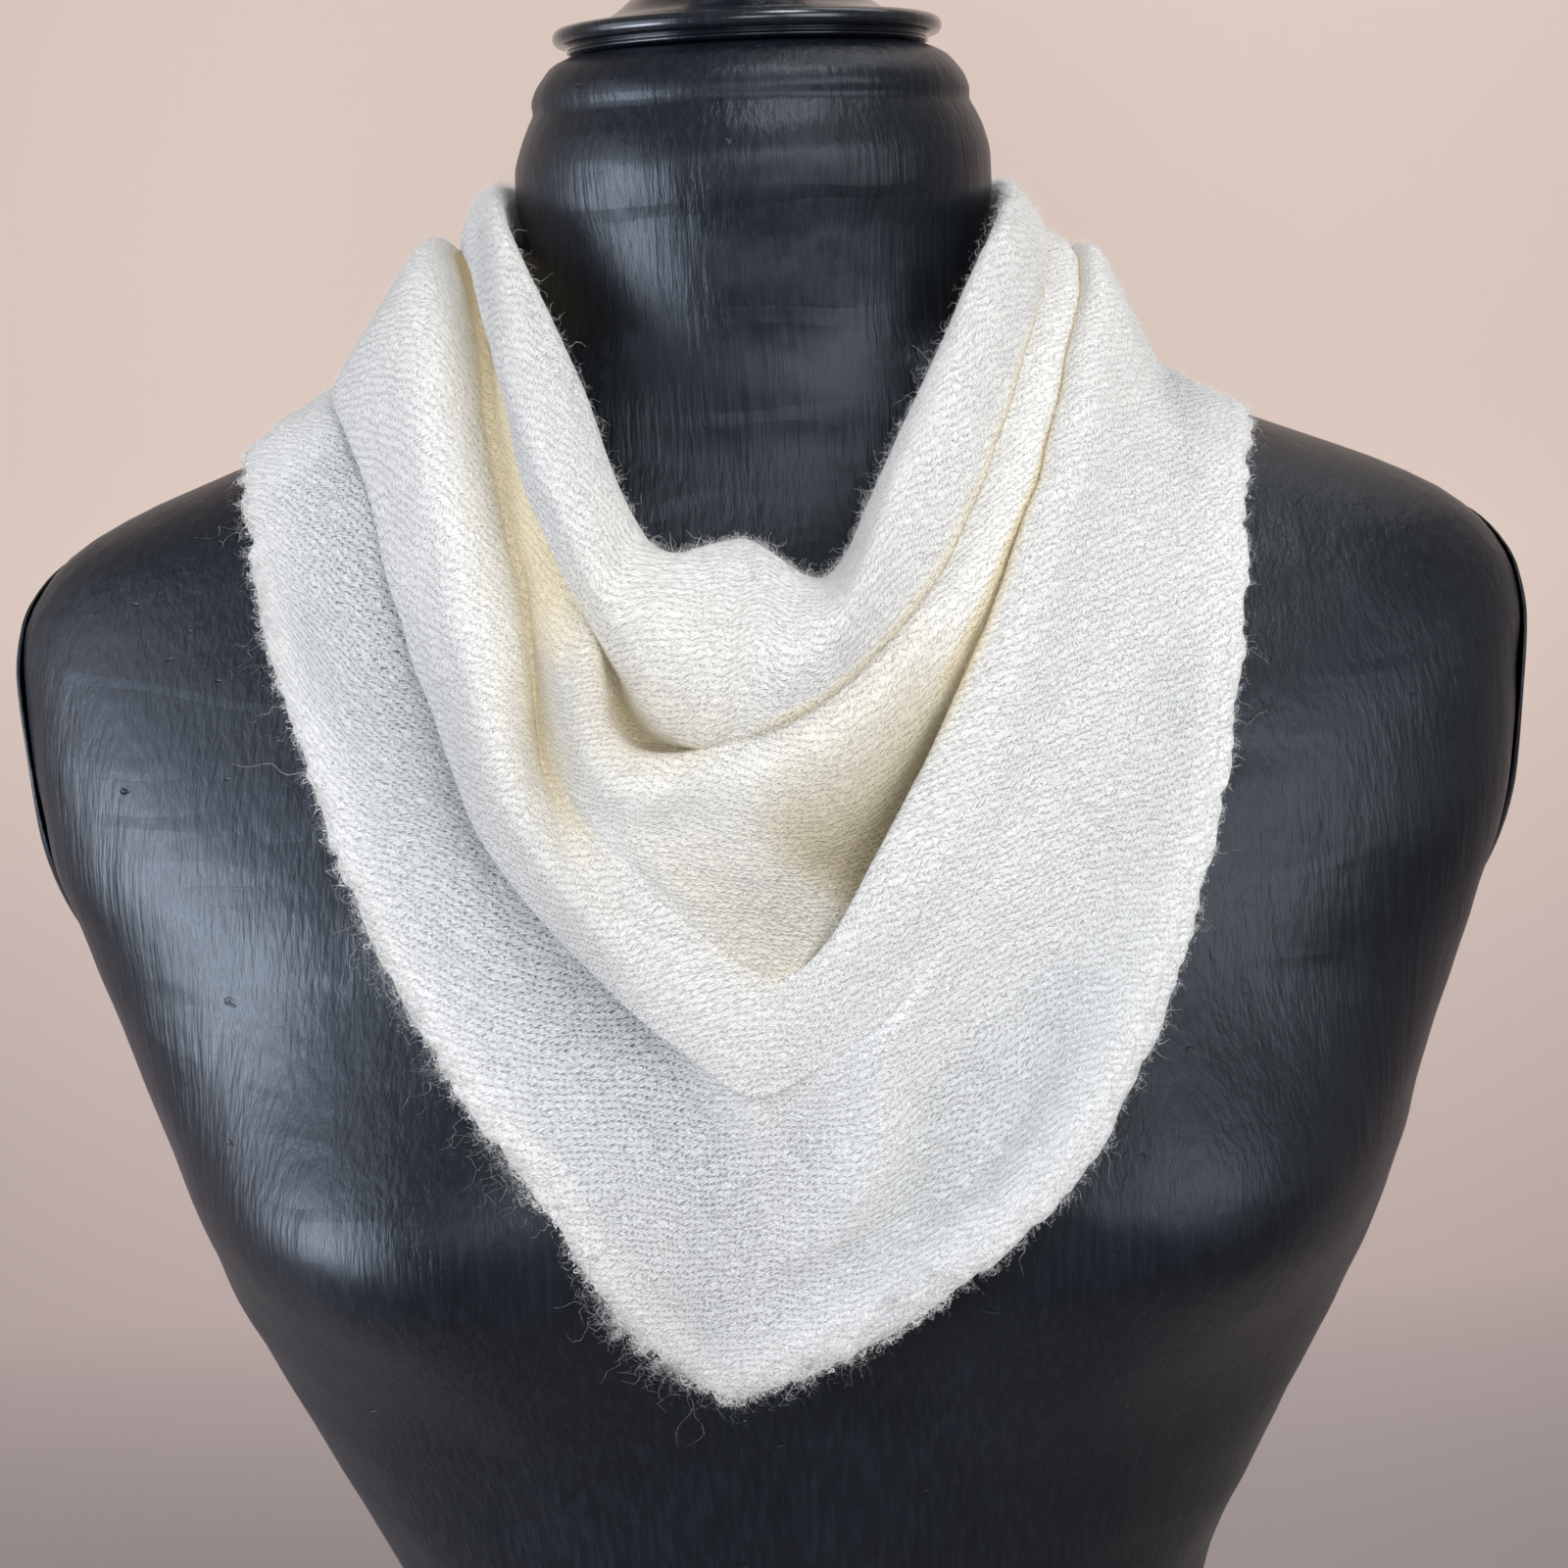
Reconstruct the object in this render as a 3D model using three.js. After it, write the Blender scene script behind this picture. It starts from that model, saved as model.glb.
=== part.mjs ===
// Knitted triangle scarf worn as a slouched cowl on a limbless dress form.
// Millimetres, +Z up.  The origin is the middle of the form's flat base under the neck axis, and the
// front of the form faces -Y.  Left and right are as seen from the front: left is -X.

import * as THREE from 'three';

// ---------------------------------------------------------------------------------------------
// Driving dimensions
// ---------------------------------------------------------------------------------------------

const CLOTH_WALL = 1.8;            // knitted wall, nap included
const SEAM_STOP = 0.25;             // each stretch stops this short of the line it shares
const SKIN_GAP = 1.5;              // between the cloth and the form it lies on
const CLOTH_STATIONS = 60;         // steps round the neck
const TUCK = { front: 7, side: 1, turn: 0.8, height: 4.6 };  // the cloth's turn under the roll
const LIP = { depth: 15, inset: 8, turn: 5 };   // the long edge, turned down inside the neckline
const VALLEY_FLOOR = 5;            // width of the narrow floor of the pocket between two folds
const SLOPE_STEP = 0.2;            // how far either side of a point, in lines, its slope is taken

const TORSO_TOP = 630;             // where the neck ends under its cap
const TORSO_STEPS = 48;            // facets round the form
const TORSO_RING_STEP = 10;        // greatest height between two rings of facets above the waist
const WAIST = 289;                 // below this the form is plain and its rings are far apart
const PIECE_GAP = 0.3;             // between stacked pieces of the form
const TURNED_STEPS = 36;           // facets round the turned pieces

const PLATE = {
  height: 474, halfTall: 54, halfDeep: 40, forward: -2, thick: 3, rim: 1.2, skin: 1.1, turns: 28,
};
const PLATE_RINGS = [0.02, 0.3, 0.6, 0.85, 1];  // their shares of the plate's size

// Flat sections through the form.  The front and back depths are measured from the neck axis.
// squareness is the exponent of the section: 2 is an ellipse and 4 nearly a rectangle.
const TORSO_SECTIONS = [
  { z: 0, halfWidth: 154, front: 104, back: 118, squareness: 2.4 },
  { z: 60, halfWidth: 146, front: 100, back: 112, squareness: 2.4 },
  { z: 120, halfWidth: 118, front: 91, back: 90, squareness: 2.3 },
  { z: 160, halfWidth: 101, front: 84, back: 76, squareness: 2.2 },
  { z: 190, halfWidth: 97, front: 82, back: 72, squareness: 2.2 },
  { z: 225, halfWidth: 104, front: 86, back: 76, squareness: 2.2 },
  { z: 256, halfWidth: 112, front: 90, back: 83, squareness: 2.2 },
  { z: 289, halfWidth: 127, front: 94, back: 91, squareness: 2.25 },
  { z: 317, halfWidth: 140, front: 97, back: 99, squareness: 2.3 },
  { z: 341, halfWidth: 150, front: 101, back: 104, squareness: 2.35 },
  { z: 369, halfWidth: 158, front: 105, back: 108, squareness: 2.4 },
  { z: 399, halfWidth: 168, front: 103, back: 112, squareness: 2.4 },
  { z: 429, halfWidth: 178, front: 98, back: 113, squareness: 2.45 },
  { z: 460, halfWidth: 187, front: 90, back: 110, squareness: 2.5 },
  { z: 485, halfWidth: 190, front: 80, back: 105, squareness: 2.5 },
  { z: 500, halfWidth: 191, front: 73, back: 100, squareness: 2.45 },
  { z: 512, halfWidth: 189, front: 66, back: 96, squareness: 2.4 },
  { z: 522, halfWidth: 183, front: 61, back: 92, squareness: 2.35 },
  { z: 530, halfWidth: 174, front: 58, back: 88, squareness: 2.25 },
  { z: 538, halfWidth: 159, front: 56, back: 84, squareness: 2.15 },
  { z: 545, halfWidth: 142, front: 55, back: 80, squareness: 2.05 },
  { z: 552, halfWidth: 123, front: 54, back: 76, squareness: 2 },
  { z: 559, halfWidth: 107, front: 54, back: 72, squareness: 2 },
  { z: 565, halfWidth: 93, front: 54, back: 68, squareness: 2 },
  { z: 570, halfWidth: 78, front: 54, back: 65, squareness: 2 },
  { z: 575, halfWidth: 66, front: 54, back: 62, squareness: 2 },
  { z: 582, halfWidth: 59, front: 54.5, back: 59, squareness: 2 },
  { z: 600, halfWidth: 58, front: 56, back: 57, squareness: 2 },
  { z: 615, halfWidth: 59, front: 58, back: 58.5, squareness: 2 },
  { z: TORSO_TOP, halfWidth: 58.5, front: 58, back: 58, squareness: 2 },
];

// The bust is two soft mounds added to the sections: degrees from the front, height of the middle,
// how far it stands proud, and its spread in degrees and in height.
const BUST = { azimuth: 40, z: 377, proud: 26, spreadAzimuth: 21, spreadZ: 40 };

// Profiles of the turned pieces: radius and height, from the underside up to the axis.
const NECK_CAP_PROFILE = [
  [0, TORSO_TOP + PIECE_GAP], [55.4, TORSO_TOP + PIECE_GAP], [56.6, 632.4], [56.2, 635.6],
  [54.4, 638.8], [51.4, 641.6], [47.6, 643.6], [43, 644.6], [0, 644.6],
];
const FLANGE_PROFILE = [
  [0, 644.9], [42.8, 644.9], [44.4, 645.8], [44, 646.9], [46.6, 647.5], [47.7, 649], [47.2, 650.8],
  [45.4, 651.7], [40, 652.1], [0, 652.1],
];
const FINIAL_PROFILE = [
  [0, 652.4], [38, 652.4], [33.5, 654], [29, 657.4], [24, 662], [20, 668], [18, 676], [19.6, 680],
  [19.6, 683], [17, 685.5], [21.5, 691], [24, 699], [22.5, 707], [17, 714], [9, 718.4], [0, 720],
];

// Stations along the scarf, left to right, in millimetres along the middle of the cloth from the
// lowest part of the cowl, at which each line of the scarf is placed.  The first and last lie on top
// of the shoulders.
const STATIONS = [-260, -221, -179, -113, -20, 47, 114, 197, 250];

// The lines of the scarf from the neckline out to the hem, at the nine stations: x across, how far
// forward of the neck axis, and height.  share is the line's place in the bundle behind the neck,
// from 0 at the neckline to 1 at the hem, and proud is how far it stands off the bundle there.
const LINES = [
  {
    name: 'neckline', share: 0, proud: 1,
    across: [-65, -57, -43, -26, -4, 14, 28, 50, 63],
    forward: [-6, 42, 68, 85, 87, 89, 77, 48, -6],
    up: [614, 605, 572, 536, 534, 526, 554, 599, 610],
  },
  {
    name: 'roll crest', share: 0.1, proud: 8,
    across: [-71, -60, -49, -33, -8, 14, 31, 57, 69],
    forward: [-4, 54, 81, 100, 111, 108, 86, 51, -4],
    up: [611, 583, 558, 527, 515, 518, 545, 590, 606],
  },
  {
    name: 'roll lower edge', share: 0.22, proud: 5,
    across: [-72, -62, -55, -37, -13, 13, 40, 63, 72],
    forward: [-2, 47, 73, 98, 114, 105, 83, 45, -3],
    up: [603, 579, 551, 515, 495, 504, 529, 576, 601],
  },
  {
    name: 'second fold upper edge', share: 0.32, proud: 3,
    across: [-73, -65, -58, -38, -15, 14, 42, 65, 74],
    forward: [-1, 41, 67, 99, 113, 104, 81, 43, -2],
    up: [598, 577, 547, 508, 492, 501, 526, 574, 597],
  },
  {
    name: 'second fold crest', share: 0.42, proud: 8,
    across: [-75, -67, -58, -42, -21, 13, 48, 68, 77],
    forward: [0, 37, 69, 100, 116, 110, 80, 48, -2],
    up: [596, 577, 541, 506, 485, 494, 528, 572, 598],
  },
  {
    name: 'pocket', share: 0.5, proud: 4,
    across: [-75, -68, -59, -49, -31, 14, 51, 71, 78],
    forward: [0, 31, 67, 89, 104, 105, 74, 44, -1],
    up: [592, 574, 535, 499, 473, 476, 522, 569, 593],
  },
  {
    name: 'pocket valley', share: 0.58, proud: 1,
    across: [-79, -73, -63, -54, -2, 24, 53, 73, 82],
    forward: [0, 27, 62, 83, 105, 95, 67, 36, -1],
    up: [588, 572, 530, 495, 439, 469, 521, 568, 589],
  },
  {
    name: 'third fold crest', share: 0.7, proud: 11,
    across: [-84, -83, -73, -56, -3, 29, 58, 78, 87],
    forward: [1, 38, 75, 102, 113, 106, 76, 47, 0],
    up: [602, 580, 532, 485, 432, 465, 522, 569, 595],
  },
  {
    name: 'third fold foot', share: 0.84, proud: 3,
    across: [-105, -97, -82, -63, -3, 39, 68, 87, 99],
    forward: [0, 36, 68, 90, 108, 101, 75, 44, 0],
    up: [569, 555, 509, 469, 417, 452, 506, 554, 566],
  },
  {
    name: 'panel', share: 0.92, proud: 4,
    across: [-117, -113, -99, -81, -9, 57, 85, 100, 110],
    forward: [0, 32, 65, 88, 111, 103, 80, 44, 0],
    up: [561, 551, 507, 463, 381, 433, 486, 545, 559],
  },
  {
    name: 'hem', share: 1, proud: 1,
    across: [-128, -125, -118, -93, -15, 60, 99, 115, 119],
    forward: [-2, 30, 56, 90, 105, 117, 84, 42, -2],
    up: [554, 545, 515, 447, 342, 394, 463, 539, 552],
  },
];

// The bundle behind the neck, at two stations a side, so far beyond the shoulder's: where its
// neckline side and its hem side pass, from the middle, behind the neck axis and in height.
// facing is the way its folds stand proud, in degrees from straight back, and fullness scales
// them as the knot pulls them flat.
const BUNDLES = [
  {
    beyond: 65, facing: 45, fullness: 1,
    neckline: { across: 47, behind: 46, up: 608 },
    hem: { across: 68, behind: 62, up: 561 },
  },
  {
    beyond: 110, facing: 0, fullness: 0.7,
    neckline: { across: 17.5, behind: 66, up: 604 },
    hem: { across: 15.5, behind: 72, up: 572 },
  },
];

// Each stretch runs from one line to another; steps are the facets between neighbouring lines.
// They count the hidden lines that sectionLines works out as well.
const STRETCHES = [
  { name: 'cowl_roll', from: 'inner lip', to: 'tuck', steps: [1, 2, 3, 2, 1, 1] },
  { name: 'second_fold', from: 'tuck', to: 'pocket valley', steps: [1, 1, 2, 2, 2, 1] },
  { name: 'third_fold', from: 'pocket valley', to: 'third fold foot', steps: [1, 3, 3] },
  { name: 'front_panel', from: 'third fold foot', to: 'hem', steps: [3, 4] },
];

// The knot at the nape, and the two free ends that hang from it.  lean is how far an end drifts
// sideways for each millimetre of its length; it is widest between the shares widest and taper.
const KNOT = {
  across: 14.6, behind: 72, up: 587, halfTall: 21, halfDeep: 13, swell: 0.14, turns: 20, slices: 6,
};
const TIE_ENDS = [
  { name: 'tie_end_left', side: -1, length: 84, lean: 0.42 },
  { name: 'tie_end_right', side: 1, length: 72, lean: 0.5 },
];
const TIE_END = {
  top: 562.6, start: 7, halfWidth: 13, halfTop: 6, halfTip: 1.5, widest: 0.35, taper: 0.55,
  fold: 4, steps: 10,
};

// ---------------------------------------------------------------------------------------------
// Materials
// ---------------------------------------------------------------------------------------------

const knit = () => new THREE.MeshStandardMaterial({ color: 0xeeebe2, roughness: 0.95, metalness: 0 });
const paintedPaper = () => new THREE.MeshStandardMaterial({ color: 0x23262b, roughness: 0.5, metalness: 0 });
const glossPaint = () => new THREE.MeshStandardMaterial({ color: 0x15171a, roughness: 0.3, metalness: 0 });

// ---------------------------------------------------------------------------------------------
// Small maths
// ---------------------------------------------------------------------------------------------

const radians = (degrees) => degrees * Math.PI / 180;
const lerp = (a, b, t) => a + (b - a) * t;

// Slopes of a smooth curve through values at uneven knots.
function smoothSlopes(knots, values) {
  const last = knots.length - 1;
  return values.map((value, i) => {
    const before = Math.max(i - 1, 0);
    const after = Math.min(i + 1, last);
    return (values[after] - values[before]) / (knots[after] - knots[before]);
  });
}

// Slopes of a curve that never swings past its values: 0 at a turning point, and a harmonic mean
// of the two chords elsewhere.
function steadySlopes(knots, values) {
  const chords = values.slice(1).map((v, i) => (v - values[i]) / (knots[i + 1] - knots[i]));
  return values.map((value, i) => {
    if (i === 0) return chords[0];
    if (i === chords.length) return chords[chords.length - 1];
    const [a, b] = [chords[i - 1], chords[i]];
    return a * b <= 0 ? 0 : 2 * a * b / (a + b);
  });
}

function hermite(knots, values, slopes, at) {
  const t = Math.min(Math.max(at, knots[0]), knots[knots.length - 1]);
  let i = 0;
  while (i < knots.length - 2 && t > knots[i + 1]) i += 1;
  const h = knots[i + 1] - knots[i];
  const s = (t - knots[i]) / h;
  return (1 + 2 * s) * (1 - s) ** 2 * values[i] + s * (1 - s) ** 2 * h * slopes[i]
    + s * s * (3 - 2 * s) * values[i + 1] - s * s * (1 - s) * h * slopes[i + 1];
}

// ---------------------------------------------------------------------------------------------
// The form's surface
// ---------------------------------------------------------------------------------------------

const SECTION_HEIGHTS = TORSO_SECTIONS.map((row) => row.z);
const SECTION_CURVES = Object.fromEntries(['halfWidth', 'front', 'back', 'squareness'].map((column) => {
  const values = TORSO_SECTIONS.map((row) => row[column]);
  return [column, { values, slopes: steadySlopes(SECTION_HEIGHTS, values) }];
}));

function sectionValue(column, z) {
  const { values, slopes } = SECTION_CURVES[column];
  return hermite(SECTION_HEIGHTS, values, slopes, z);
}

// Radius of the form at an azimuth, in degrees from the front towards +X, and a height.
function torsoRadius(azimuth, z) {
  const turned = ((azimuth + 540) % 360) - 180;
  const across = Math.abs(Math.sin(radians(turned)));
  const along = Math.cos(radians(turned));
  const depth = along >= 0 ? sectionValue('front', z) : sectionValue('back', z);
  const power = sectionValue('squareness', z);
  const sum = (across / sectionValue('halfWidth', z)) ** power + (Math.abs(along) / depth) ** power;
  const height = Math.exp(-(((z - BUST.z) / BUST.spreadZ) ** 2));
  const mound = (side) => Math.exp(-(((turned - side * BUST.azimuth) / BUST.spreadAzimuth) ** 2));
  return sum ** (-1 / power) + BUST.proud * height * (mound(-1) + mound(1));
}

function torsoPoint(azimuth, z, off = 0) {
  const r = torsoRadius(azimuth, z) + off;
  return new THREE.Vector3(r * Math.sin(radians(azimuth)), -r * Math.cos(radians(azimuth)), z);
}

// How far a point lies outside the form, measured level from the neck axis.
function levelGap(p) {
  const azimuth = Math.atan2(p.x, -p.y) * 180 / Math.PI;
  return Math.hypot(p.x, p.y) - torsoRadius(azimuth, p.z);
}

// Moves a point straight out of the form until it clears its surface by the given distance.
function clearOfTorso(point, clearance) {
  const p = point.clone();
  const h = 0.5;
  const passes = 8;
  for (let pass = 0; pass < passes; pass += 1) {
    const gap = levelGap(p);
    const out = new THREE.Vector3(
      levelGap(p.clone().setX(p.x + h)) - levelGap(p.clone().setX(p.x - h)),
      levelGap(p.clone().setY(p.y + h)) - levelGap(p.clone().setY(p.y - h)),
      levelGap(p.clone().setZ(p.z + h)) - levelGap(p.clone().setZ(p.z - h)),
    ).divideScalar(2 * h);
    const distance = gap / out.length();
    if (distance >= clearance) break;
    p.addScaledVector(out.normalize(), clearance - distance);
  }
  return p;
}

// ---------------------------------------------------------------------------------------------
// Closed bodies from grids of points
// ---------------------------------------------------------------------------------------------

function bodyFromFaces(points, faces) {
  const geometry = new THREE.BufferGeometry();
  geometry.setAttribute('position', new THREE.Float32BufferAttribute(points.flatMap((p) => p.toArray()), 3));
  geometry.setIndex(faces.flat());
  return geometry;
}

// A solid skinned over level rings, each a list of points that runs anticlockwise seen from above.
function ringLoft(rings) {
  const count = rings[0].length;
  const points = rings.flat();
  const faces = [];
  for (let j = 0; j < rings.length - 1; j += 1) {
    for (let i = 0; i < count; i += 1) {
      const a = j * count + i;
      const b = j * count + (i + 1) % count;
      faces.push([a, b, b + count], [a, b + count, a + count]);
    }
  }
  const middle = (ring) => ring.reduce((sum, p) => sum.add(p), new THREE.Vector3()).divideScalar(count);
  const bottom = points.push(middle(rings[0])) - 1;
  const top = points.push(middle(rings[rings.length - 1])) - 1;
  const upper = (rings.length - 1) * count;
  for (let i = 0; i < count; i += 1) {
    faces.push([bottom, (i + 1) % count, i], [top, upper + i, upper + (i + 1) % count]);
  }
  return bodyFromFaces(points, faces);
}

// A wall of even thickness about grid[station][place], with a closed rim.  slopes holds, for each
// point, the direction in which the next place lies.
function wallFromGrid(grid, slopes, thickness) {
  const rows = grid.length;
  const columns = grid[0].length;
  const station = (j) => grid[Math.min(Math.max(j, 0), rows - 1)];
  const face = (side) => grid.flatMap((row, j) => row.map((point, i) => {
    const round = station(j + 1)[i].clone().sub(station(j - 1)[i]);
    return point.clone().addScaledVector(round.cross(slopes[j][i]).normalize(), side * thickness / 2);
  }));
  const points = [...face(1), ...face(-1)];
  const inner = rows * columns;
  const faces = [];
  for (let j = 0; j < rows - 1; j += 1) {
    for (let i = 0; i < columns - 1; i += 1) {
      const a = j * columns + i;
      const [b, c, d] = [a + 1, a + columns + 1, a + columns];
      faces.push([a, d, c], [a, c, b]);
      faces.push([inner + a, inner + c, inner + d], [inner + a, inner + b, inner + c]);
    }
  }
  const border = [];
  for (let i = 0; i < columns - 1; i += 1) border.push(i);
  for (let j = 0; j < rows - 1; j += 1) border.push(j * columns + columns - 1);
  for (let i = columns - 1; i > 0; i -= 1) border.push((rows - 1) * columns + i);
  for (let j = rows - 1; j > 0; j -= 1) border.push(j * columns);
  border.forEach((a, k) => {
    const b = border[(k + 1) % border.length];
    faces.push([a, b, inner + b], [a, inner + b, inner + a]);
  });
  return bodyFromFaces(points, faces);
}

// ---------------------------------------------------------------------------------------------
// The dress form
// ---------------------------------------------------------------------------------------------

function torsoGeometry() {
  const azimuths = Array.from({ length: TORSO_STEPS }, (unused, i) => i * 360 / TORSO_STEPS);
  const heights = SECTION_HEIGHTS.flatMap((z, k) => {
    const rise = (SECTION_HEIGHTS[k + 1] ?? z) - z;
    const pieces = z < WAIST ? 1 : Math.max(Math.ceil(rise / TORSO_RING_STEP), 1);
    return Array.from({ length: pieces }, (unused, i) => z + rise * i / pieces);
  });
  return ringLoft(heights.map((z) => azimuths.map((azimuth) => torsoPoint(azimuth, z))));
}

const turned = (profile) => new THREE.LatheGeometry(
  profile.map(([radius, height]) => new THREE.Vector2(radius, height)),
  TURNED_STEPS,
).rotateX(Math.PI / 2);

// Oval plate that closes an armhole: a patch of the form's side, moved out, thinner at its rim.
function armholePlate(side) {
  const passes = 30;
  const surface = (share, turn, off) => {
    const z = PLATE.height + PLATE.halfTall * share * Math.sin(turn);
    const y = PLATE.forward + PLATE.halfDeep * share * Math.cos(turn);
    let x = sectionValue('halfWidth', z);
    for (let pass = 0; pass < passes; pass += 1) x -= levelGap(new THREE.Vector3(x, y, z)) / 2;
    return new THREE.Vector3(side * (x + off), y, z);
  };
  const ring = (share, off) => Array.from({ length: PLATE.turns }, (unused, i) => (
    surface(share, side * i * 2 * Math.PI / PLATE.turns, off)));
  const outer = (share) => PLATE.skin + lerp(PLATE.thick, PLATE.rim, share ** 8);
  return ringLoft([
    ...PLATE_RINGS.map((share) => ring(share, PLATE.skin)),
    ...PLATE_RINGS.map((share) => ring(share, outer(share))).reverse(),
  ]);
}

// ---------------------------------------------------------------------------------------------
// The scarf
// ---------------------------------------------------------------------------------------------

const ALL_STATIONS = [
  ...BUNDLES.map((bundle) => STATIONS[0] - bundle.beyond).reverse(),
  ...STATIONS,
  ...BUNDLES.map((bundle) => STATIONS[STATIONS.length - 1] + bundle.beyond),
];

// A line's place in the bundle behind the neck, on one side.
function bundlePoint(bundle, line, side) {
  const place = (key) => lerp(bundle.neckline[key], bundle.hem[key], line.share);
  const off = line.proud * bundle.fullness;
  return new THREE.Vector3(
    side * (place('across') + off * Math.sin(radians(bundle.facing))),
    place('behind') + off * Math.cos(radians(bundle.facing)),
    place('up'),
  );
}

function stationPoints(line) {
  const front = STATIONS.map((unused, i) => new THREE.Vector3(line.across[i], -line.forward[i], line.up[i]));
  const back = (side) => BUNDLES.map((bundle) => bundlePoint(bundle, line, side));
  return [...back(-1).reverse(), ...front, ...back(1)];
}

// Smooth curve of one line round the neck, as a function of the station.
function lineCurve(line) {
  const points = stationPoints(line);
  const axes = ['x', 'y', 'z'].map((axis) => {
    const values = points.map((p) => p[axis]);
    return { values, slopes: smoothSlopes(ALL_STATIONS, values) };
  });
  return (station) => new THREE.Vector3(...axes.map(({ values, slopes }) => (
    hermite(ALL_STATIONS, values, slopes, station))));
}

const LINE_CURVES = LINES.map((line) => ({ name: line.name, curve: lineCurve(line) }));

// A point moved level towards the neck axis, and in height.
function movedIn(point, inward, rise) {
  const level = Math.hypot(point.x, point.y);
  return new THREE.Vector3(
    point.x * (1 - inward / level),
    point.y * (1 - inward / level),
    point.z + rise,
  );
}

// All lines at one station, with the hidden ones worked out from their neighbours: the inner lip
// inside the neckline, the tuck under the roll, and the two sides of the pocket valley's floor.
function sectionLines(station) {
  const lines = LINE_CURVES.map(({ name, curve }) => ({ name, point: curve(station) }));
  const index = (name) => lines.findIndex((line) => line.name === name);

  const valley = index('pocket valley');
  const [before, bottom, after] = [-1, 0, 1].map((k) => lines[valley + k].point);
  const aside = after.clone().sub(before).setLength(VALLEY_FLOOR / 2);
  lines.splice(valley, 1,
    { name: 'valley near side', point: bottom.clone().sub(aside) },
    { name: 'pocket valley', point: bottom },
    { name: 'valley far side', point: bottom.clone().add(aside) });

  const second = index('second fold upper edge');
  const above = lines[second - 1].point;
  const slit = lines[second].point.clone().sub(above);
  const below = slit.setLength(Math.max(slit.length(), TUCK.height)).add(above);
  const facing = Math.max(-above.y / Math.hypot(above.x, above.y), 0);
  const depth = lerp(TUCK.side, TUCK.front, facing);
  lines.splice(second, 1,
    { name: 'tuck ceiling', point: movedIn(above, depth, 0) },
    { name: 'tuck', point: movedIn(above.clone().lerp(below, 0.5), depth + TUCK.turn, 0) },
    { name: 'tuck floor', point: movedIn(below, depth, 0) },
    { name: 'second fold upper edge', point: below });

  const neckline = lines[0].point;
  return [
    { name: 'inner lip', point: movedIn(neckline, LIP.inset, -LIP.depth) },
    { name: 'lip turn', point: movedIn(neckline, LIP.turn, -LIP.turn / 2) },
    ...lines,
  ];
}

// Section curve through the lines at one station, as a function of the place: a whole number on
// each line, and fractions between.  Its knots grow with the square root of the distance
// between lines, which keeps tight turns free of loops.
function sectionCurve(points) {
  const knots = [0];
  points.slice(1).forEach((p, i) => knots.push(knots[i] + Math.sqrt(p.distanceTo(points[i]))));
  const axes = ['x', 'y', 'z'].map((axis) => {
    const values = points.map((p) => p[axis]);
    return { values, slopes: smoothSlopes(knots, values) };
  });
  return (place) => {
    const line = Math.min(Math.floor(place), points.length - 2);
    const at = lerp(knots[line], knots[line + 1], place - line);
    return new THREE.Vector3(...axes.map(({ values, slopes }) => hermite(knots, values, slopes, at)));
  };
}

// One stretch's points and slopes at one station, from its first line to its last.
function stretchRow(stretch, station) {
  const lines = sectionLines(station);
  const curve = sectionCurve(lines.map((line) => line.point));
  const first = lines.findIndex((line) => line.name === stretch.from);
  const places = stretch.steps.flatMap((steps, k) => (
    Array.from({ length: steps }, (unused, s) => first + k + s / steps)));
  places.push(first + stretch.steps.length);
  return {
    points: places.map((place) => clearOfTorso(curve(place), SKIN_GAP + CLOTH_WALL / 2)),
    slopes: places.map((place) => {
      const from = Math.max(place - SLOPE_STEP, 0);
      const to = Math.min(place + SLOPE_STEP, lines.length - 1);
      return curve(to).sub(curve(from));
    }),
  };
}

// The points along one long edge of a grid, moved straight off the line that two stretches share
// and towards their neighbours in the same stretch.
function seamEdge(grid, edge, neighbour) {
  const last = grid.length - 1;
  return grid.map((row, j) => {
    const after = grid[Math.min(j + 1, last)][edge];
    const before = grid[Math.max(j - 1, 0)][edge];
    const along = after.clone().sub(before).normalize();
    const off = row[neighbour].clone().sub(row[edge]);
    return off.addScaledVector(along, -off.dot(along)).setLength(SEAM_STOP).add(row[edge]);
  });
}

function stretchGeometry(stretch) {
  const ends = [ALL_STATIONS[0], ALL_STATIONS[ALL_STATIONS.length - 1]];
  const rows = Array.from({ length: CLOTH_STATIONS + 1 }, (unused, i) => (
    stretchRow(stretch, lerp(...ends, i / CLOTH_STATIONS))));
  const grid = rows.map((row) => row.points);
  const last = grid[0].length - 1;
  const starts = seamEdge(grid, 0, 1);
  const stops = seamEdge(grid, last, last - 1);
  const trimmed = grid.map((row, j) => [starts[j], ...row.slice(1, -1), stops[j]]);
  return wallFromGrid(trimmed, rows.map((row) => row.slopes), CLOTH_WALL);
}

// The knot: a barrel across the nape, fuller in its middle, whose flat ends meet the bundle.
function knotGeometry() {
  const rings = Array.from({ length: KNOT.slices + 1 }, (unused, j) => {
    const along = lerp(-1, 1, j / KNOT.slices);
    const swell = 1 + KNOT.swell * (1 - along * along);
    return Array.from({ length: KNOT.turns }, (alsoUnused, i) => {
      const turn = i * 2 * Math.PI / KNOT.turns;
      const point = new THREE.Vector3(
        KNOT.across * along,
        KNOT.behind + KNOT.halfDeep * swell * Math.cos(turn),
        KNOT.up + KNOT.halfTall * swell * Math.sin(turn),
      );
      return clearOfTorso(point, SKIN_GAP);
    });
  });
  return ringLoft(rings);
}

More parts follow.
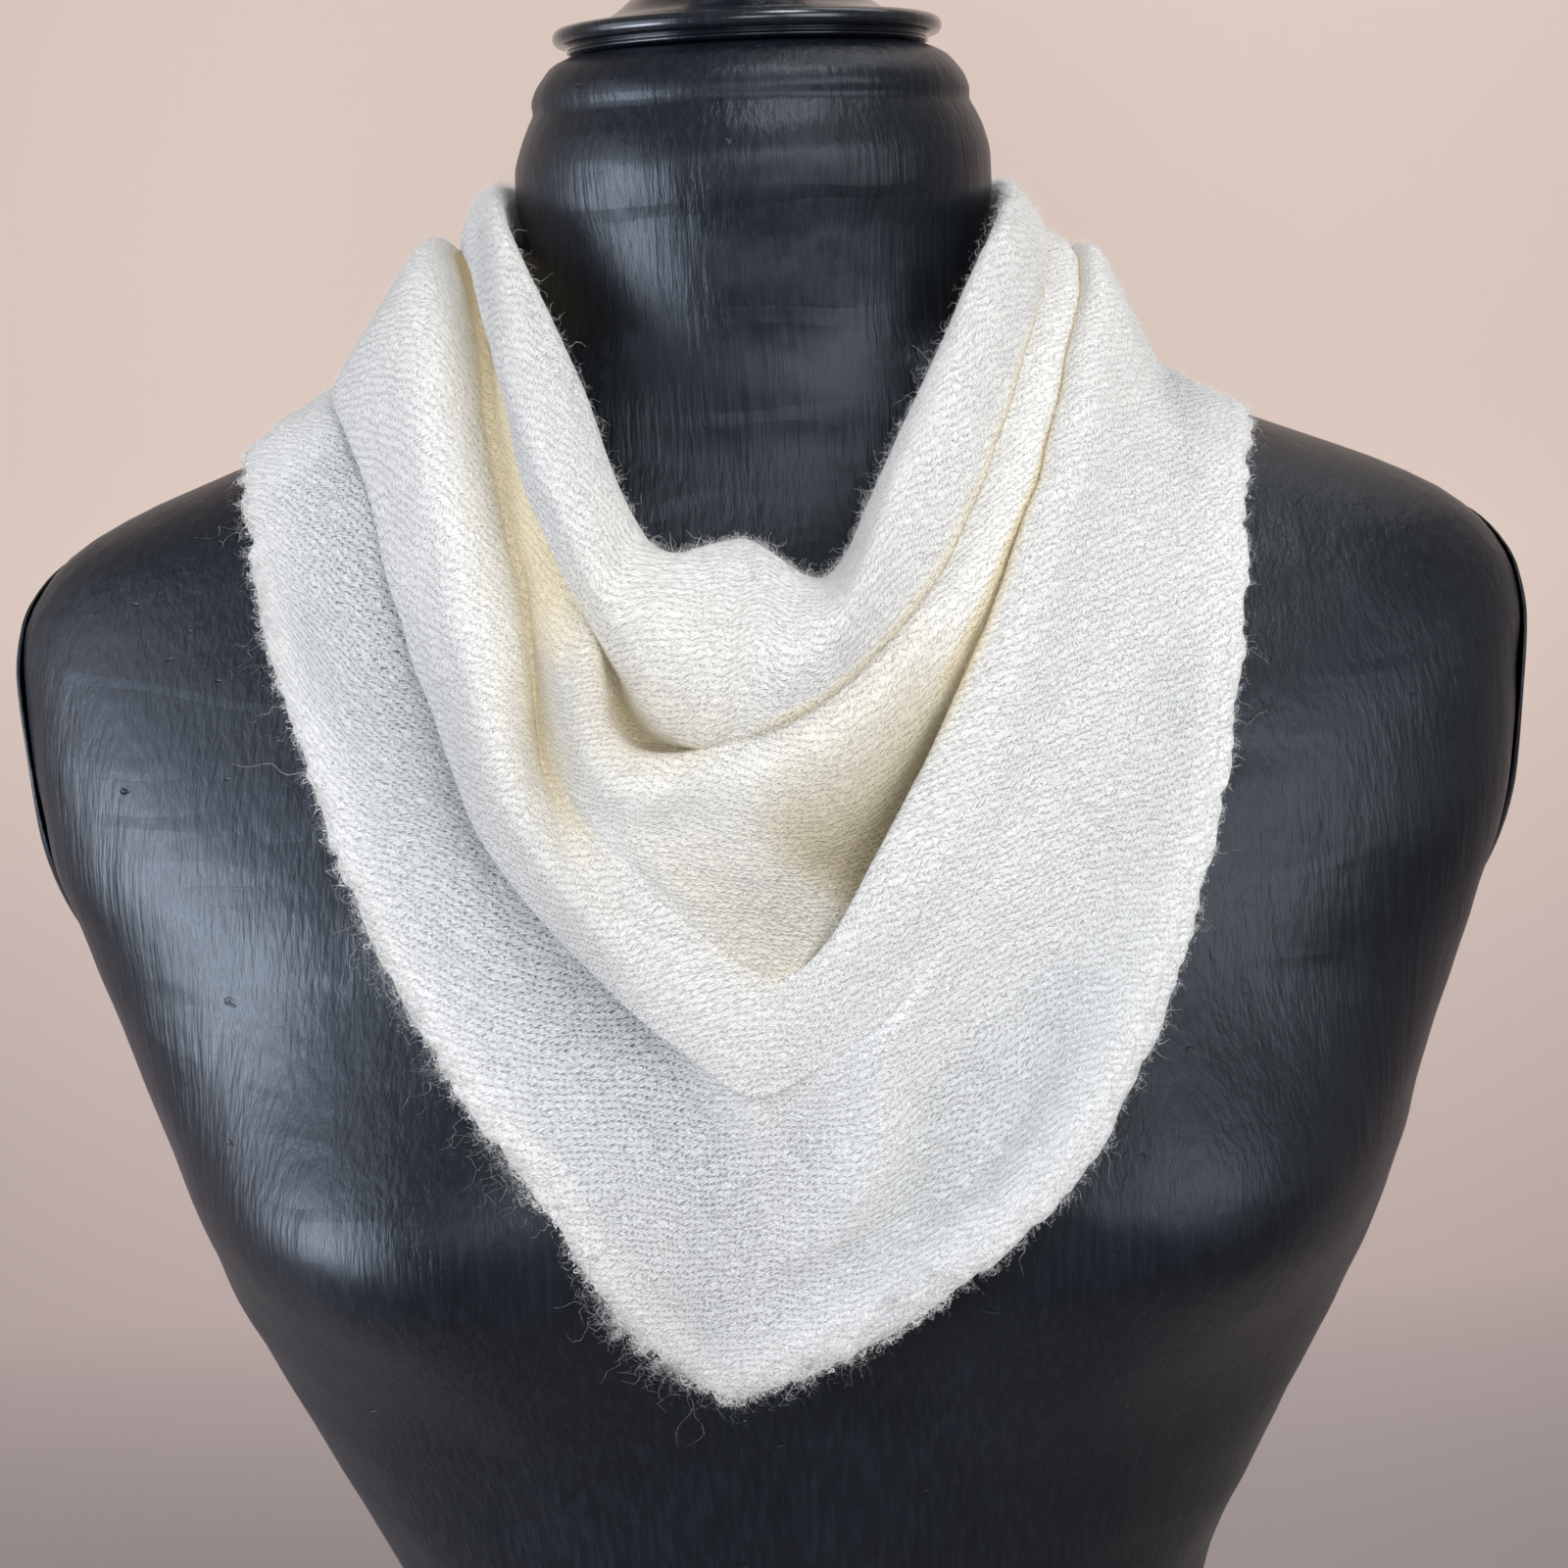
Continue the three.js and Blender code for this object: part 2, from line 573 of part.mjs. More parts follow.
// A free end: a softly folded strip that hangs down the back from the knot and tapers to the
// corner of the triangle.
function tieEndGeometry(end) {
  const shares = [-1, -0.5, 0, 0.5, 1];
  const grid = Array.from({ length: TIE_END.steps + 1 }, (unused, j) => {
    const t = j / TIE_END.steps;
    const widen = Math.min(t / TIE_END.widest, 1);
    const narrow = Math.max((t - TIE_END.taper) / (1 - TIE_END.taper), 0);
    const half = lerp(lerp(TIE_END.halfTop, TIE_END.halfWidth, widen), TIE_END.halfTip, narrow);
    const z = TIE_END.top - end.length * t;
    const middle = end.side * (TIE_END.start + end.lean * end.length * t);
    return shares.map((share) => {
      const x = middle + share * half;
      const azimuth = 180 - Math.atan2(x, torsoRadius(180, z)) * 180 / Math.PI;
      const off = SKIN_GAP + CLOTH_WALL / 2 + TIE_END.fold * (1 - Math.abs(share)) * (1 - t);
      return clearOfTorso(torsoPoint(azimuth, z, off), SKIN_GAP + CLOTH_WALL / 2);
    });
  });
  const slopes = grid.map((row) => row.map((unused, i) => (
    row[Math.min(i + 1, row.length - 1)].clone().sub(row[Math.max(i - 1, 0)]))));
  return wallFromGrid(grid, slopes, CLOTH_WALL);
}

// ---------------------------------------------------------------------------------------------
// Assembly
// ---------------------------------------------------------------------------------------------

function named(name, geometry, material) {
  const mesh = new THREE.Mesh(geometry, material);
  mesh.name = name;
  return mesh;
}

function dressForm() {
  const group = new THREE.Group();
  group.add(named('torso', torsoGeometry(), paintedPaper()));
  group.add(named('armhole_plate_left', armholePlate(-1), paintedPaper()));
  group.add(named('armhole_plate_right', armholePlate(1), paintedPaper()));
  group.add(named('neck_cap', turned(NECK_CAP_PROFILE), paintedPaper()));
  group.add(named('flange', turned(FLANGE_PROFILE), glossPaint()));
  group.add(named('finial', turned(FINIAL_PROFILE), glossPaint()));
  return group;
}

function scarf() {
  const group = new THREE.Group();
  STRETCHES.forEach((stretch) => group.add(named(stretch.name, stretchGeometry(stretch), knit())));
  group.add(named('nape_knot', knotGeometry(), knit()));
  TIE_ENDS.forEach((end) => group.add(named(end.name, tieEndGeometry(end), knit())));
  return group;
}

const part = new THREE.Group();
part.add(dressForm(), scarf());

export default part;
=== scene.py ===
"""A brushed-knit triangle scarf worn as a slouched cowl on a limbless painted dress form.

Lengths are in millimetres in the tables below and become metres when a mesh is made.  +Z is up
and the front of the form faces -Y.  Left and right are as seen from the front: left is -X.  A
station is a distance along the scarf, left to right, from the lowest part of the cowl.
"""

from __future__ import annotations

import logging
import math
from dataclasses import dataclass, field
from enum import Enum
from typing import Any, Callable

import bpy
import numpy as np
from mathutils import Matrix, Vector


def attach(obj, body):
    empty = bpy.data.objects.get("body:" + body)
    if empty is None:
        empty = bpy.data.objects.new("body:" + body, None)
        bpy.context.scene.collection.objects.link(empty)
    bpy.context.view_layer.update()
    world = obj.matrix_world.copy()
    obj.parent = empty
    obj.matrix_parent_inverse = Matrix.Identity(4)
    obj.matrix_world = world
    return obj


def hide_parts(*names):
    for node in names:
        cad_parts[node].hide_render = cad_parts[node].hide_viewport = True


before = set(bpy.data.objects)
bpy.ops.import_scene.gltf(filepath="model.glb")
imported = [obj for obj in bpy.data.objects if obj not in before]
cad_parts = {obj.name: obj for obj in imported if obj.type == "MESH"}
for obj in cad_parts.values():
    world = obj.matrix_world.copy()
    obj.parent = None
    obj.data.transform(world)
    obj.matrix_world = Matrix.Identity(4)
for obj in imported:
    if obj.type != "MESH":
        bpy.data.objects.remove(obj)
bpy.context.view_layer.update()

MM = 0.001
LOG = logging.getLogger("scarf_on_form")

Colour = tuple[float, float, float]
Ripples = tuple[tuple[float, float, int], ...]  # The height, wavelength and seed of each kind.
BLACK: Colour = (0.0, 0.0, 0.0)
WHITE: Colour = (1.0, 1.0, 1.0)

# Values that the cloth keeps at its points: how far the form shows through, with painted shade
# beside the third fold and in its pocket; how far the hem is; how much painted bounce light
# colours a hollow and painted shade darkens it; how much painted glow stands for light through
# the cloth; and whether it is the front panel.
CLOTH_VALUES = ("sheer_and_shade", "hem_mm", "painted_bounce", "deep", "lift", "panel")
FAR_FROM_HEM_MM = 60.0


# ---- Small maths ----


def lerp(a: Any, b: Any, share: Any) -> Any:
    """The value a share of the way from a to b."""
    return a + (b - a) * share


def smoothstep(low: float, high: float, value: np.ndarray) -> np.ndarray:
    """0 before low, 1 past high, and the cubic 3t^2 - 2t^3 between; low may be the greater one."""
    t = np.clip((value - low) / (high - low), 0.0, 1.0)
    return t * t * (3.0 - 2.0 * t)


def unit(vectors: np.ndarray) -> np.ndarray:
    """Vectors scaled to length 1 along the last axis."""
    return vectors / np.maximum(np.linalg.norm(vectors, axis=-1, keepdims=True), 1e-9)


def chord_slopes(knots: np.ndarray, values: np.ndarray) -> np.ndarray:
    """Slopes of a smooth curve: at each knot, the slope of the chord between its neighbours.

    Args:
        knots: Knot positions, shape (..., K).
        values: Values at the knots, shape (..., K, C).

    Returns:
        Slopes of the same shape as values.
    """
    last = knots.shape[-1] - 1
    after = np.minimum(np.arange(last + 1) + 1, last)
    before = np.maximum(np.arange(last + 1) - 1, 0)
    span = (knots[..., after] - knots[..., before])[..., None]
    return (values[..., after, :] - values[..., before, :]) / span


def steady_slopes(knots: np.ndarray, values: np.ndarray) -> np.ndarray:
    """Slopes of a curve that never swings past its values.

    The slope is 0 at a turning point and the harmonic mean of the two chords elsewhere.

    Args:
        knots: Knot positions, shape (K,).
        values: Values at the knots, shape (K, C).

    Returns:
        Slopes of the same shape as values.
    """
    chords = np.diff(values, axis=0) / np.diff(knots)[:, None]
    a, b = chords[:-1], chords[1:]
    turning = a * b <= 0.0
    inner = np.where(turning, 0.0, 2.0 * a * b / np.where(turning, 1.0, a + b))
    return np.concatenate([chords[:1], inner, chords[-1:]])


def cubic(
    knots: np.ndarray, values: np.ndarray, slopes: np.ndarray, span: np.ndarray, share: np.ndarray
) -> np.ndarray:
    """Points of a piecewise cubic that has the given values and slopes at its knots.

    Args:
        knots: Knot positions, shape (..., K).
        values: Values at the knots, shape (..., K, C).
        slopes: Slopes at the knots, shape (..., K, C).
        span: Index of the knot before each point, shape (M,).
        share: How far each point lies towards the next knot, 0 to 1, shape (M,).

    Returns:
        Points, shape (..., M, C).
    """
    width = (knots[..., span + 1] - knots[..., span])[..., None]
    s = share[:, None]
    start = (1.0 + 2.0 * s) * (1.0 - s) ** 2 * values[..., span, :]
    start = start + s * (1.0 - s) ** 2 * width * slopes[..., span, :]
    end = s * s * (3.0 - 2.0 * s) * values[..., span + 1, :]
    return start + end - s * s * (1.0 - s) * width * slopes[..., span + 1, :]


def knot_spans(knots: np.ndarray, at: np.ndarray) -> tuple[np.ndarray, np.ndarray]:
    """The knot before each position, and the share of the way to the next one.

    Args:
        knots: Rising knot positions, shape (K,).
        at: Positions, shape (M,), held between the first knot and the last.

    Returns:
        Knot numbers and shares from 0 to 1, each of shape (M,).
    """
    inside = np.clip(at, knots[0], knots[-1])
    span = np.clip(np.searchsorted(knots, inside, side="right") - 1, 0, len(knots) - 2)
    return span, (inside - knots[span]) / (knots[span + 1] - knots[span])


def ripple(points: np.ndarray, wavelength: float, seed: int, waves: int = 7) -> np.ndarray:
    """A smooth uneven field over space, between about -1 and 1.

    It is the mean of plane sine waves in seeded random directions, with lengths about wavelength.

    Args:
        points: Places, shape (..., 3).
        wavelength: Mean length of the waves.
        seed: Seed of the directions, lengths and phases.
        waves: How many waves are added.

    Returns:
        The field at the places, shape (...).
    """
    rng = np.random.default_rng(seed)
    directions = unit(rng.normal(size=(waves, 3)))
    numbers = 2.0 * math.pi / (wavelength * rng.uniform(0.6, 1.6, waves))
    phases = rng.uniform(0.0, 2.0 * math.pi, waves)
    swing = np.sin((points @ directions.T) * numbers + phases)
    return swing.sum(axis=-1) / math.sqrt(waves)


def ripples(points: np.ndarray, kinds: Ripples) -> np.ndarray:
    """Several kinds of ripple added up."""
    return sum(height * ripple(points, wavelength, seed) for height, wavelength, seed in kinds)


# ---- Meshes ----


@dataclass
class Skin:
    """Points and faces of a surface before it becomes a piece."""

    points: np.ndarray
    quads: np.ndarray
    triangles: np.ndarray = field(default_factory=lambda: np.zeros((0, 3), int))
    uv: np.ndarray | None = None
    values: dict[str, np.ndarray] = field(default_factory=dict)

    def piece(self, name: str) -> bpy.types.Object:
        """The skin as a smooth-shaded mesh object in metres, ridden by the body "root".

        Args:
            name: The piece's name.

        Returns:
            The new object, at the origin.
        """
        mesh = bpy.data.meshes.new(name)
        corners = np.concatenate([self.quads.ravel(), self.triangles.ravel()])
        sizes = np.repeat([4, 3], [len(self.quads), len(self.triangles)])
        mesh.vertices.add(len(self.points))
        mesh.vertices.foreach_set("co", (self.points * MM).astype(np.float32).ravel())
        mesh.loops.add(len(corners))
        mesh.loops.foreach_set("vertex_index", corners.astype(np.int32))
        mesh.polygons.add(len(sizes))
        starts = np.concatenate([[0], np.cumsum(sizes)[:-1]])
        mesh.polygons.foreach_set("loop_start", starts.astype(np.int32))
        mesh.update(calc_edges=True)
        mesh.validate()
        mesh.polygons.foreach_set("use_smooth", np.ones(len(mesh.polygons), bool))
        if self.uv is not None:
            layer = mesh.uv_layers.new(name="cloth")
            layer.data.foreach_set("uv", self.uv[corners].astype(np.float32).ravel())
        for key, value in self.values.items():
            attribute = mesh.attributes.new(key, "FLOAT", "POINT")
            attribute.data.foreach_set("value", value.astype(np.float32).ravel())
        made = bpy.data.objects.new(name, mesh)
        bpy.context.scene.collection.objects.link(made)
        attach(made, "root")
        return made


def grid_quads(rows: int, columns: int, wrap: bool = False) -> np.ndarray:
    """Quads of a grid whose points are numbered row by row.

    Args:
        rows: Number of rows.
        columns: Number of columns.
        wrap: Whether the last column joins the first.

    Returns:
        Corner numbers, shape (quads, 4): a point, the next in its row, and the two in the next row.
    """
    j = np.arange(rows - 1)[:, None]
    i = np.arange(columns if wrap else columns - 1)[None, :]
    a = j * columns + i
    b = j * columns + (i + 1) % columns
    return np.stack([a, b, b + columns, a + columns], axis=-1).reshape(-1, 4)


def closed_loft(rings: np.ndarray) -> Skin:
    """A closed skin over rings of points that run anticlockwise seen from their end.

    Each end is closed by a fan about the ring's middle.

    Args:
        rings: Points, shape (rings, points in a ring, 3).

    Returns:
        The skin.
    """
    count, turns = rings.shape[:2]
    points = np.concatenate([rings.reshape(-1, 3), rings[:1].mean(axis=1), rings[-1:].mean(axis=1)])
    i = np.arange(turns)
    after = (i + 1) % turns
    low, high = count * turns, count * turns + 1
    top = (count - 1) * turns
    bottom_fan = np.stack([np.full(turns, low), after, i], axis=-1)
    top_fan = np.stack([np.full(turns, high), top + i, top + after], axis=-1)
    return Skin(points, grid_quads(count, turns, wrap=True), np.concatenate([bottom_fan, top_fan]))


def walled(middle: np.ndarray, outward: np.ndarray, thickness: np.ndarray) -> Skin:
    """A closed wall about a grid of points: an outer face, an inner face and a rim.

    Args:
        middle: Points, shape (rows, columns, 3); rows run left to right and columns downwards.
        outward: Unit normals, the same shape.
        thickness: Wall at each point, shape (rows, columns).

    Returns:
        The wall, its outer face first.
    """
    rows, columns = middle.shape[:2]
    half = 0.5 * thickness[..., None] * outward
    outer, inner = middle + half, middle - half
    count = rows * columns
    face = grid_quads(rows, columns)
    number = np.arange(count).reshape(rows, columns)

    def rim(start: np.ndarray, end: np.ndarray) -> np.ndarray:
        """Quads from an edge of the outer face to the inner face."""
        return np.stack([start, end, end + count, start + count], axis=-1)

    edges = [
        rim(number[:-1, 0], number[1:, 0]),
        rim(number[1:, -1], number[:-1, -1]),
        rim(number[0, 1:], number[0, :-1]),
        rim(number[-1, :-1], number[-1, 1:]),
    ]
    quads = np.concatenate([face, face[:, ::-1] + count, *edges])
    return Skin(np.concatenate([outer.reshape(-1, 3), inner.reshape(-1, 3)]), quads)


# ---- Shader maths ----


def _math(operation: str, flipped: bool = False) -> Callable[..., "Wire"]:
    """A method of Wire that adds one Math node.

    Args:
        operation: What the node does.
        flipped: Whether the wire is the node's second value and not its first.

    Returns:
        The method, which takes another wire or number.
    """

    def method(self: "Wire", other: Any = 0.0) -> "Wire":
        """The Math node's value."""
        values = {0: other, 1: self} if flipped else {0: self, 1: other}
        return self.shader.node("ShaderNodeMath", {"operation": operation}, values)

    return method


@dataclass(frozen=True)
class Wire:
    """An output socket that can be used in Python expressions; each adds a Math node."""

    shader: "Shader"
    socket: bpy.types.NodeSocket

    __add__ = __radd__ = _math("ADD")
    __sub__ = _math("SUBTRACT")
    __rsub__ = _math("SUBTRACT", flipped=True)
    __mul__ = __rmul__ = _math("MULTIPLY")
    __pow__ = _math("POWER")
    __rpow__ = _math("POWER", flipped=True)
    magnitude = _math("ABSOLUTE")
    fraction = _math("FRACT")
    cosine = _math("COSINE")

    def clamped(self) -> "Wire":
        """The value held between 0 and 1."""
        return self.shader.node("ShaderNodeClamp", {}, {"Value": self})

    def between(self, low: float, high: float) -> "Wire":
        """0 before low, 1 past high, and straight between; low may be the greater one."""
        return ((self - low) * (1.0 / (high - low))).clamped()


class Shader:
    """Builds one material from nodes."""

    def __init__(self, name: str) -> None:
        """An empty material of the given name."""
        self.material = bpy.data.materials.new(name)
        self.material.use_nodes = True
        self.tree = self.material.node_tree
        self.tree.nodes.clear()

    def _add(self, kind: str, settings: dict[str, Any], inputs: dict[Any, Any]) -> bpy.types.Node:
        """Adds a node.

        Args:
            kind: The node's type.
            settings: Its properties.
            inputs: Wires or values for its sockets, by name or number.

        Returns:
            The node.
        """
        made = self.tree.nodes.new(kind)
        for key, value in settings.items():
            setattr(made, key, value)
        for key, value in inputs.items():
            if isinstance(value, Wire):
                self.tree.links.new(value.socket, made.inputs[key])
            elif isinstance(value, tuple) and made.inputs[key].type == "RGBA":
                made.inputs[key].default_value = (*value, 1.0)
            else:
                made.inputs[key].default_value = value
        return made

    def node(
        self,
        kind: str,
        settings: dict[str, Any] | None = None,
        inputs: dict[Any, Any] | None = None,
        output: int | str = 0,
    ) -> Wire:
        """Adds a node and gives a wire from its output, which is named or numbered."""
        return Wire(self, self._add(kind, settings or {}, inputs or {}).outputs[output])

    def mix(self, share: Wire | float, first: Any, second: Any) -> Wire:
        """Colour that goes from first to second as share goes from 0 to 1."""
        inputs = {0: share, 6: first, 7: second}
        return self.node("ShaderNodeMix", {"data_type": "RGBA"}, inputs, output=2)

    def tinted(self, first: Any, second: Any) -> Wire:
        """Two colours multiplied."""
        settings = {"data_type": "RGBA", "blend_type": "MULTIPLY"}
        return self.node("ShaderNodeMix", settings, {0: 1.0, 6: first, 7: second}, output=2)

    def place(self) -> Wire:
        """Object coordinates, in metres."""
        return self.node("ShaderNodeTexCoord", output="Object")

    def axis(self, vector: Wire, name: str) -> Wire:
        """One axis of a vector."""
        return self.node("ShaderNodeSeparateXYZ", {}, {0: vector}, output=name)

    def scaled(self, vector: Wire, scale: tuple[float, float, float]) -> Wire:
        """A vector with each axis multiplied."""
        return self.node("ShaderNodeMapping", {}, {"Vector": vector, "Scale": scale})

    def noise(self, vector: Wire, scale: float, detail: float = 2.0, rough: float = 0.5) -> Wire:
        """Noise from 0 to 1 about 0.5."""
        inputs = {"Vector": vector, "Scale": scale, "Detail": detail, "Roughness": rough}
        return self.node("ShaderNodeTexNoise", {}, inputs)

    def attribute(self, name: str) -> Wire:
        """A value kept at the mesh's points."""
        return self.node("ShaderNodeAttribute", {"attribute_name": name}, output="Fac")

    def bump(self, height: Wire, depth_mm: float, after: Wire | None = None) -> Wire:
        """A normal tilted by a height.

        Args:
            height: The height, in units of depth_mm.
            depth_mm: What a height of 1 stands for.
            after: A normal to start from, or none for the surface's own.

        Returns:
            The tilted normal.
        """
        inputs: dict[Any, Any] = {"Height": height, "Distance": depth_mm * MM, "Strength": 1.0}
        if after is not None:
            inputs["Normal"] = after
        return self.node("ShaderNodeBump", {}, inputs)

    def finish(self, **sockets: Any) -> bpy.types.Material:
        """Ends the material in a Principled shader with these sockets set.

        Args:
            sockets: Values or wires by socket name, with _ for a space.

        Returns:
            The material.
        """
        inputs = {key.replace("_", " "): value for key, value in sockets.items()}
        surface = self.node("ShaderNodeBsdfPrincipled", {}, inputs)
        self._add("ShaderNodeOutputMaterial", {}, {"Surface": surface})
        return self.material


# ---- Finishes ----


@dataclass(frozen=True)
class BrushedKnit:
    """Cream stocking stitch brushed to a nap; wales run along U of the cloth's UV map."""

    light: Colour = (0.985, 0.985, 0.97)
    shade: Colour = (0.70, 0.70, 0.69)
    veil: Colour = (0.36, 0.385, 0.43)
    pinhole: Colour = (0.06, 0.07, 0.09)
    # Painted light in the folds' hollows: a pale bounce colour and a darker painted shade.
    painted_bounce_tan: Colour = (0.98, 0.865, 0.62)
    painted_shade_brown: Colour = (0.43, 0.36, 0.205)
    cool: Colour = (0.965, 0.98, 1.0)
    # Painted glow: emitted colours standing for light bounced into the hollows and light through
    # the cloth.
    bounced: Colour = (0.18, 0.148, 0.09)
    through: Colour = (0.10, 0.10, 0.09)
    hem: Colour = (0.96, 0.96, 0.96)
    wale_mm: float = 1.6
    course_mm: float = 1.4
    slant: float = 1.0
    sway_scale: float = 150.0
    jog_scale: float = 620.0
    nap_scale: float = 1250.0
    patch_scale: float = 24.0
    nap_grain: tuple[float, float, float] = (0.7, 1.0, 1.0)
    fluffy: tuple[float, float] = (0.36, 0.62)
    parted: tuple[float, float] = (0.62, 0.38)
    hem_band_mm: tuple[float, float] = (16.0, 5.0)
    selvedge_mm: float = 5.2
    selvedge_from_x: tuple[float, float] = (0.02, 0.07)
    relief_mm: float = 0.7

    def material(self) -> bpy.types.Material:
        """The knit: V-shaped stitches, pinholes where one layer lies on the form, nap, and painted
        shade, bounce colour and glow in the hollows between the folds.

        With c and w the position in courses and wales, both swayed by noise, d = 2 |frac(w) - 1/2|
        is the distance from a wale's middle and the legs are (1 + cos 2 pi (c - slant d)) / 2.

        Returns:
            The material.
        """
        knit = Shader("brushed_knit")
        uv = knit.node("ShaderNodeUVMap", {"uv_map": "cloth"})
        sway = knit.noise(uv, self.sway_scale) - 0.5
        jog = knit.noise(uv, self.jog_scale, 2.0, 0.6) - 0.5
        course = knit.axis(uv, "X") * (1.0 / (MM * self.course_mm)) + sway * 2.2 + jog * 1.5
        wale = knit.axis(uv, "Y") * (1.0 / (MM * self.wale_mm)) + sway * 1.8 + jog * 1.3
        off = (wale.fraction() - 0.5).magnitude() * 2.0
        leg = course - off * self.slant
        legs = (leg * (2.0 * math.pi)).cosine() * 0.5 + 0.5
        tube = 1.0 - (off * 2.0 - 1.0).magnitude() ** 2.0
        stitch = legs * 0.6 + tube * 0.4
        gap = (1.0 - off * 1.5).clamped() * (1.0 - legs).clamped() ** 1.5

        along_leg = knit.node("ShaderNodeCombineXYZ", {}, {0: leg * 2.0, 1: wale * 1.3, 2: 0.0})
        strand = knit.noise(along_leg, 1.0, 3.0, 0.65)
        nap = knit.noise(knit.scaled(uv, self.nap_grain), self.nap_scale, 4.0, 0.7)
        patch = knit.noise(uv, self.patch_scale, 3.0)
        sheer_and_shade, hem_mm, painted_bounce, deep, lift, panel = map(knit.attribute, CLOTH_VALUES)

        # The form showing through, with painted shade beside the third fold and in its pocket: grey
        # veil and dark pinholes.
        seen = (sheer_and_shade * (patch + 0.5)).clamped()
        fluff = strand.between(*self.fluffy) * 0.55 + nap.between(*self.fluffy) * 0.45
        bright = (fluff * 0.8 + stitch * (seen * 0.35 + 0.12)).clamped()
        colour = knit.mix(bright, self.shade, self.light)
        colour = knit.mix(panel, colour, knit.tinted(colour, self.cool))
        colour = knit.mix(seen * (1.0 - bright * 0.7) * 0.95, colour, self.veil)
        hole = (gap * (strand.between(*self.parted) * 1.3 + 0.15)).clamped()
        colour = knit.mix((hole * (seen * 0.95 + 0.1)).clamped(), colour, self.pinhole)
        fuzzy = hem_mm.between(*self.hem_band_mm) * 0.6 * nap.between(0.25, 0.5)
        colour = knit.mix(fuzzy, colour, self.hem)
        # Painted light in the hollows: the pale bounce colour, going to painted shade where darker.
        painted_crease_tint = knit.mix(deep, self.painted_bounce_tan, self.painted_shade_brown)
        colour = knit.mix(painted_bounce, colour, knit.tinted(knit.mix(0.35, colour, WHITE), painted_crease_tint))

        to_right = knit.axis(knit.place(), "X").between(*self.selvedge_from_x)
        line = (1.0 - (hem_mm - self.selvedge_mm).magnitude() * 1.1).clamped() * to_right
        height = stitch * (seen * 0.35 + 0.3) + strand * 0.9 + nap - hole * 0.5 - line * 0.8
        # Painted glow: emission in the hollows for bounced light, and under the folds for light
        # through the cloth.
        bounce = knit.mix(painted_bounce * (1.0 - deep), BLACK, self.bounced)
        return knit.finish(
            Base_Color=colour,
            Roughness=0.95,
            Normal=knit.bump(height, self.relief_mm),
            Emission_Color=knit.mix(lift, bounce, self.through),
            Emission_Strength=1.0,
            Sheen_Weight=0.2,
            Sheen_Roughness=0.6,
            Specular_IOR_Level=0.12,
        )


@dataclass(frozen=True)
class LooseFibre:
    """Single fibres that stand off the knit."""

    cream: Colour = (0.88, 0.88, 0.87)

    def material(self) -> bpy.types.Material:
        """A plain pale fibre."""
        fibre = Shader("loose_fibre")
        return fibre.finish(Base_Color=self.cream, Roughness=0.9, Specular_IOR_Level=0.2)


class Gloss(Enum):
    """How shiny a painted piece of the form is: its roughness."""

    SATIN = 0.38
    GLOSS = 0.26


@dataclass(frozen=True)
class BlackPaint:
    """Hand-painted black over layered paper: brush ridges, paper edges and small dents."""

    name: str
    gloss: Gloss
    dark: Colour = (0.0025, 0.0035, 0.006)
    # A lighter colour for painted highlights on the brush ridges and for dust.
    dust_and_highlight: Colour = (0.012, 0.0145, 0.021)
    sky: Colour = (0.80, 0.89, 1.0)
    ridge_mm: float = 0.34
    paper_mm: float = 0.45
    stroke_scale: float = 640.0
    blotch_scale: float = 16.0

    def material(self) -> bpy.types.Material:
        """The paint, with upright brush strokes over overlapping strips of paper.

        Returns:
            The material.
        """
        paint = Shader(self.name)
        place = paint.place()
        strokes = paint.noise(paint.scaled(place, (1.0, 1.0, 0.07)), self.stroke_scale, 5.0, 0.62)
        coarse = paint.noise(paint.scaled(place, (1.0, 1.0, 0.2)), 120.0, 3.0, 0.55)
        blotch = paint.noise(place, self.blotch_scale, 4.0, 0.6)
        contour = paint.noise(paint.scaled(place, (0.4, 0.4, 1.8)), self.blotch_scale)
        ledge = (contour * 5.0).fraction().between(0.0, 0.3)
        pits = paint.noise(paint.scaled(place, (1.0, 1.0, 2.2)), 95.0).between(0.26, 0.2)
        height = coarse * 0.9 + blotch * 3.0 + ledge * 0.4 - pits * 0.9
        papered = paint.bump(height, self.paper_mm)
        # Lighter on the brush ridges as a painted highlight, and in blotches as uneven dust.
        ridge_highlight_and_dust = strokes.between(0.45, 0.75) * 0.6 + blotch.between(0.4, 0.75) * 0.4
        rough = blotch * 0.2 + strokes * 0.12 + (self.gloss.value - 0.2)
        return paint.finish(
            Base_Color=paint.mix(ridge_highlight_and_dust.clamped(), self.dark, self.dust_and_highlight),
            Roughness=rough.clamped(),
            Normal=paint.bump(strokes, self.ridge_mm, papered),
            Specular_IOR_Level=0.36,
            Specular_Tint=self.sky,
            Coat_Weight=0.0 if self.gloss is Gloss.SATIN else 0.5,
            Coat_Roughness=0.15,
        )


@dataclass(frozen=True)
class Backdrop:
    """Plain pale paper sweep, darker on the floor as painted shade, and not seen from behind."""

    wall: Colour = (0.90, 0.745, 0.655)
    # The floor and the sweep's foot are darker as painted shade.
    low: Colour = (0.53, 0.435, 0.42)
    floor: Colour = (0.38, 0.34, 0.335)
    low_m: tuple[float, float] = (0.0, 0.05)
    wall_m: tuple[float, float] = (0.03, 0.40)

    def material(self) -> bpy.types.Material:
        """A matt finish that goes from the floor's darker painted shade to the wall's tone up the
        sweep.

        Returns:
            The material.
        """
        paper = Shader("backdrop_paper")
        height = paper.axis(paper.place(), "Z")
        colour = paper.mix(height.between(*self.low_m), self.floor, self.low)
        colour = paper.mix(height.between(*self.wall_m), colour, self.wall)
        front = 1.0 - paper.node("ShaderNodeNewGeometry", output="Backfacing")
        return paper.finish(Base_Color=colour, Roughness=0.95, Specular_IOR_Level=0.1, Alpha=front)


# ---- The dress form's surface ----


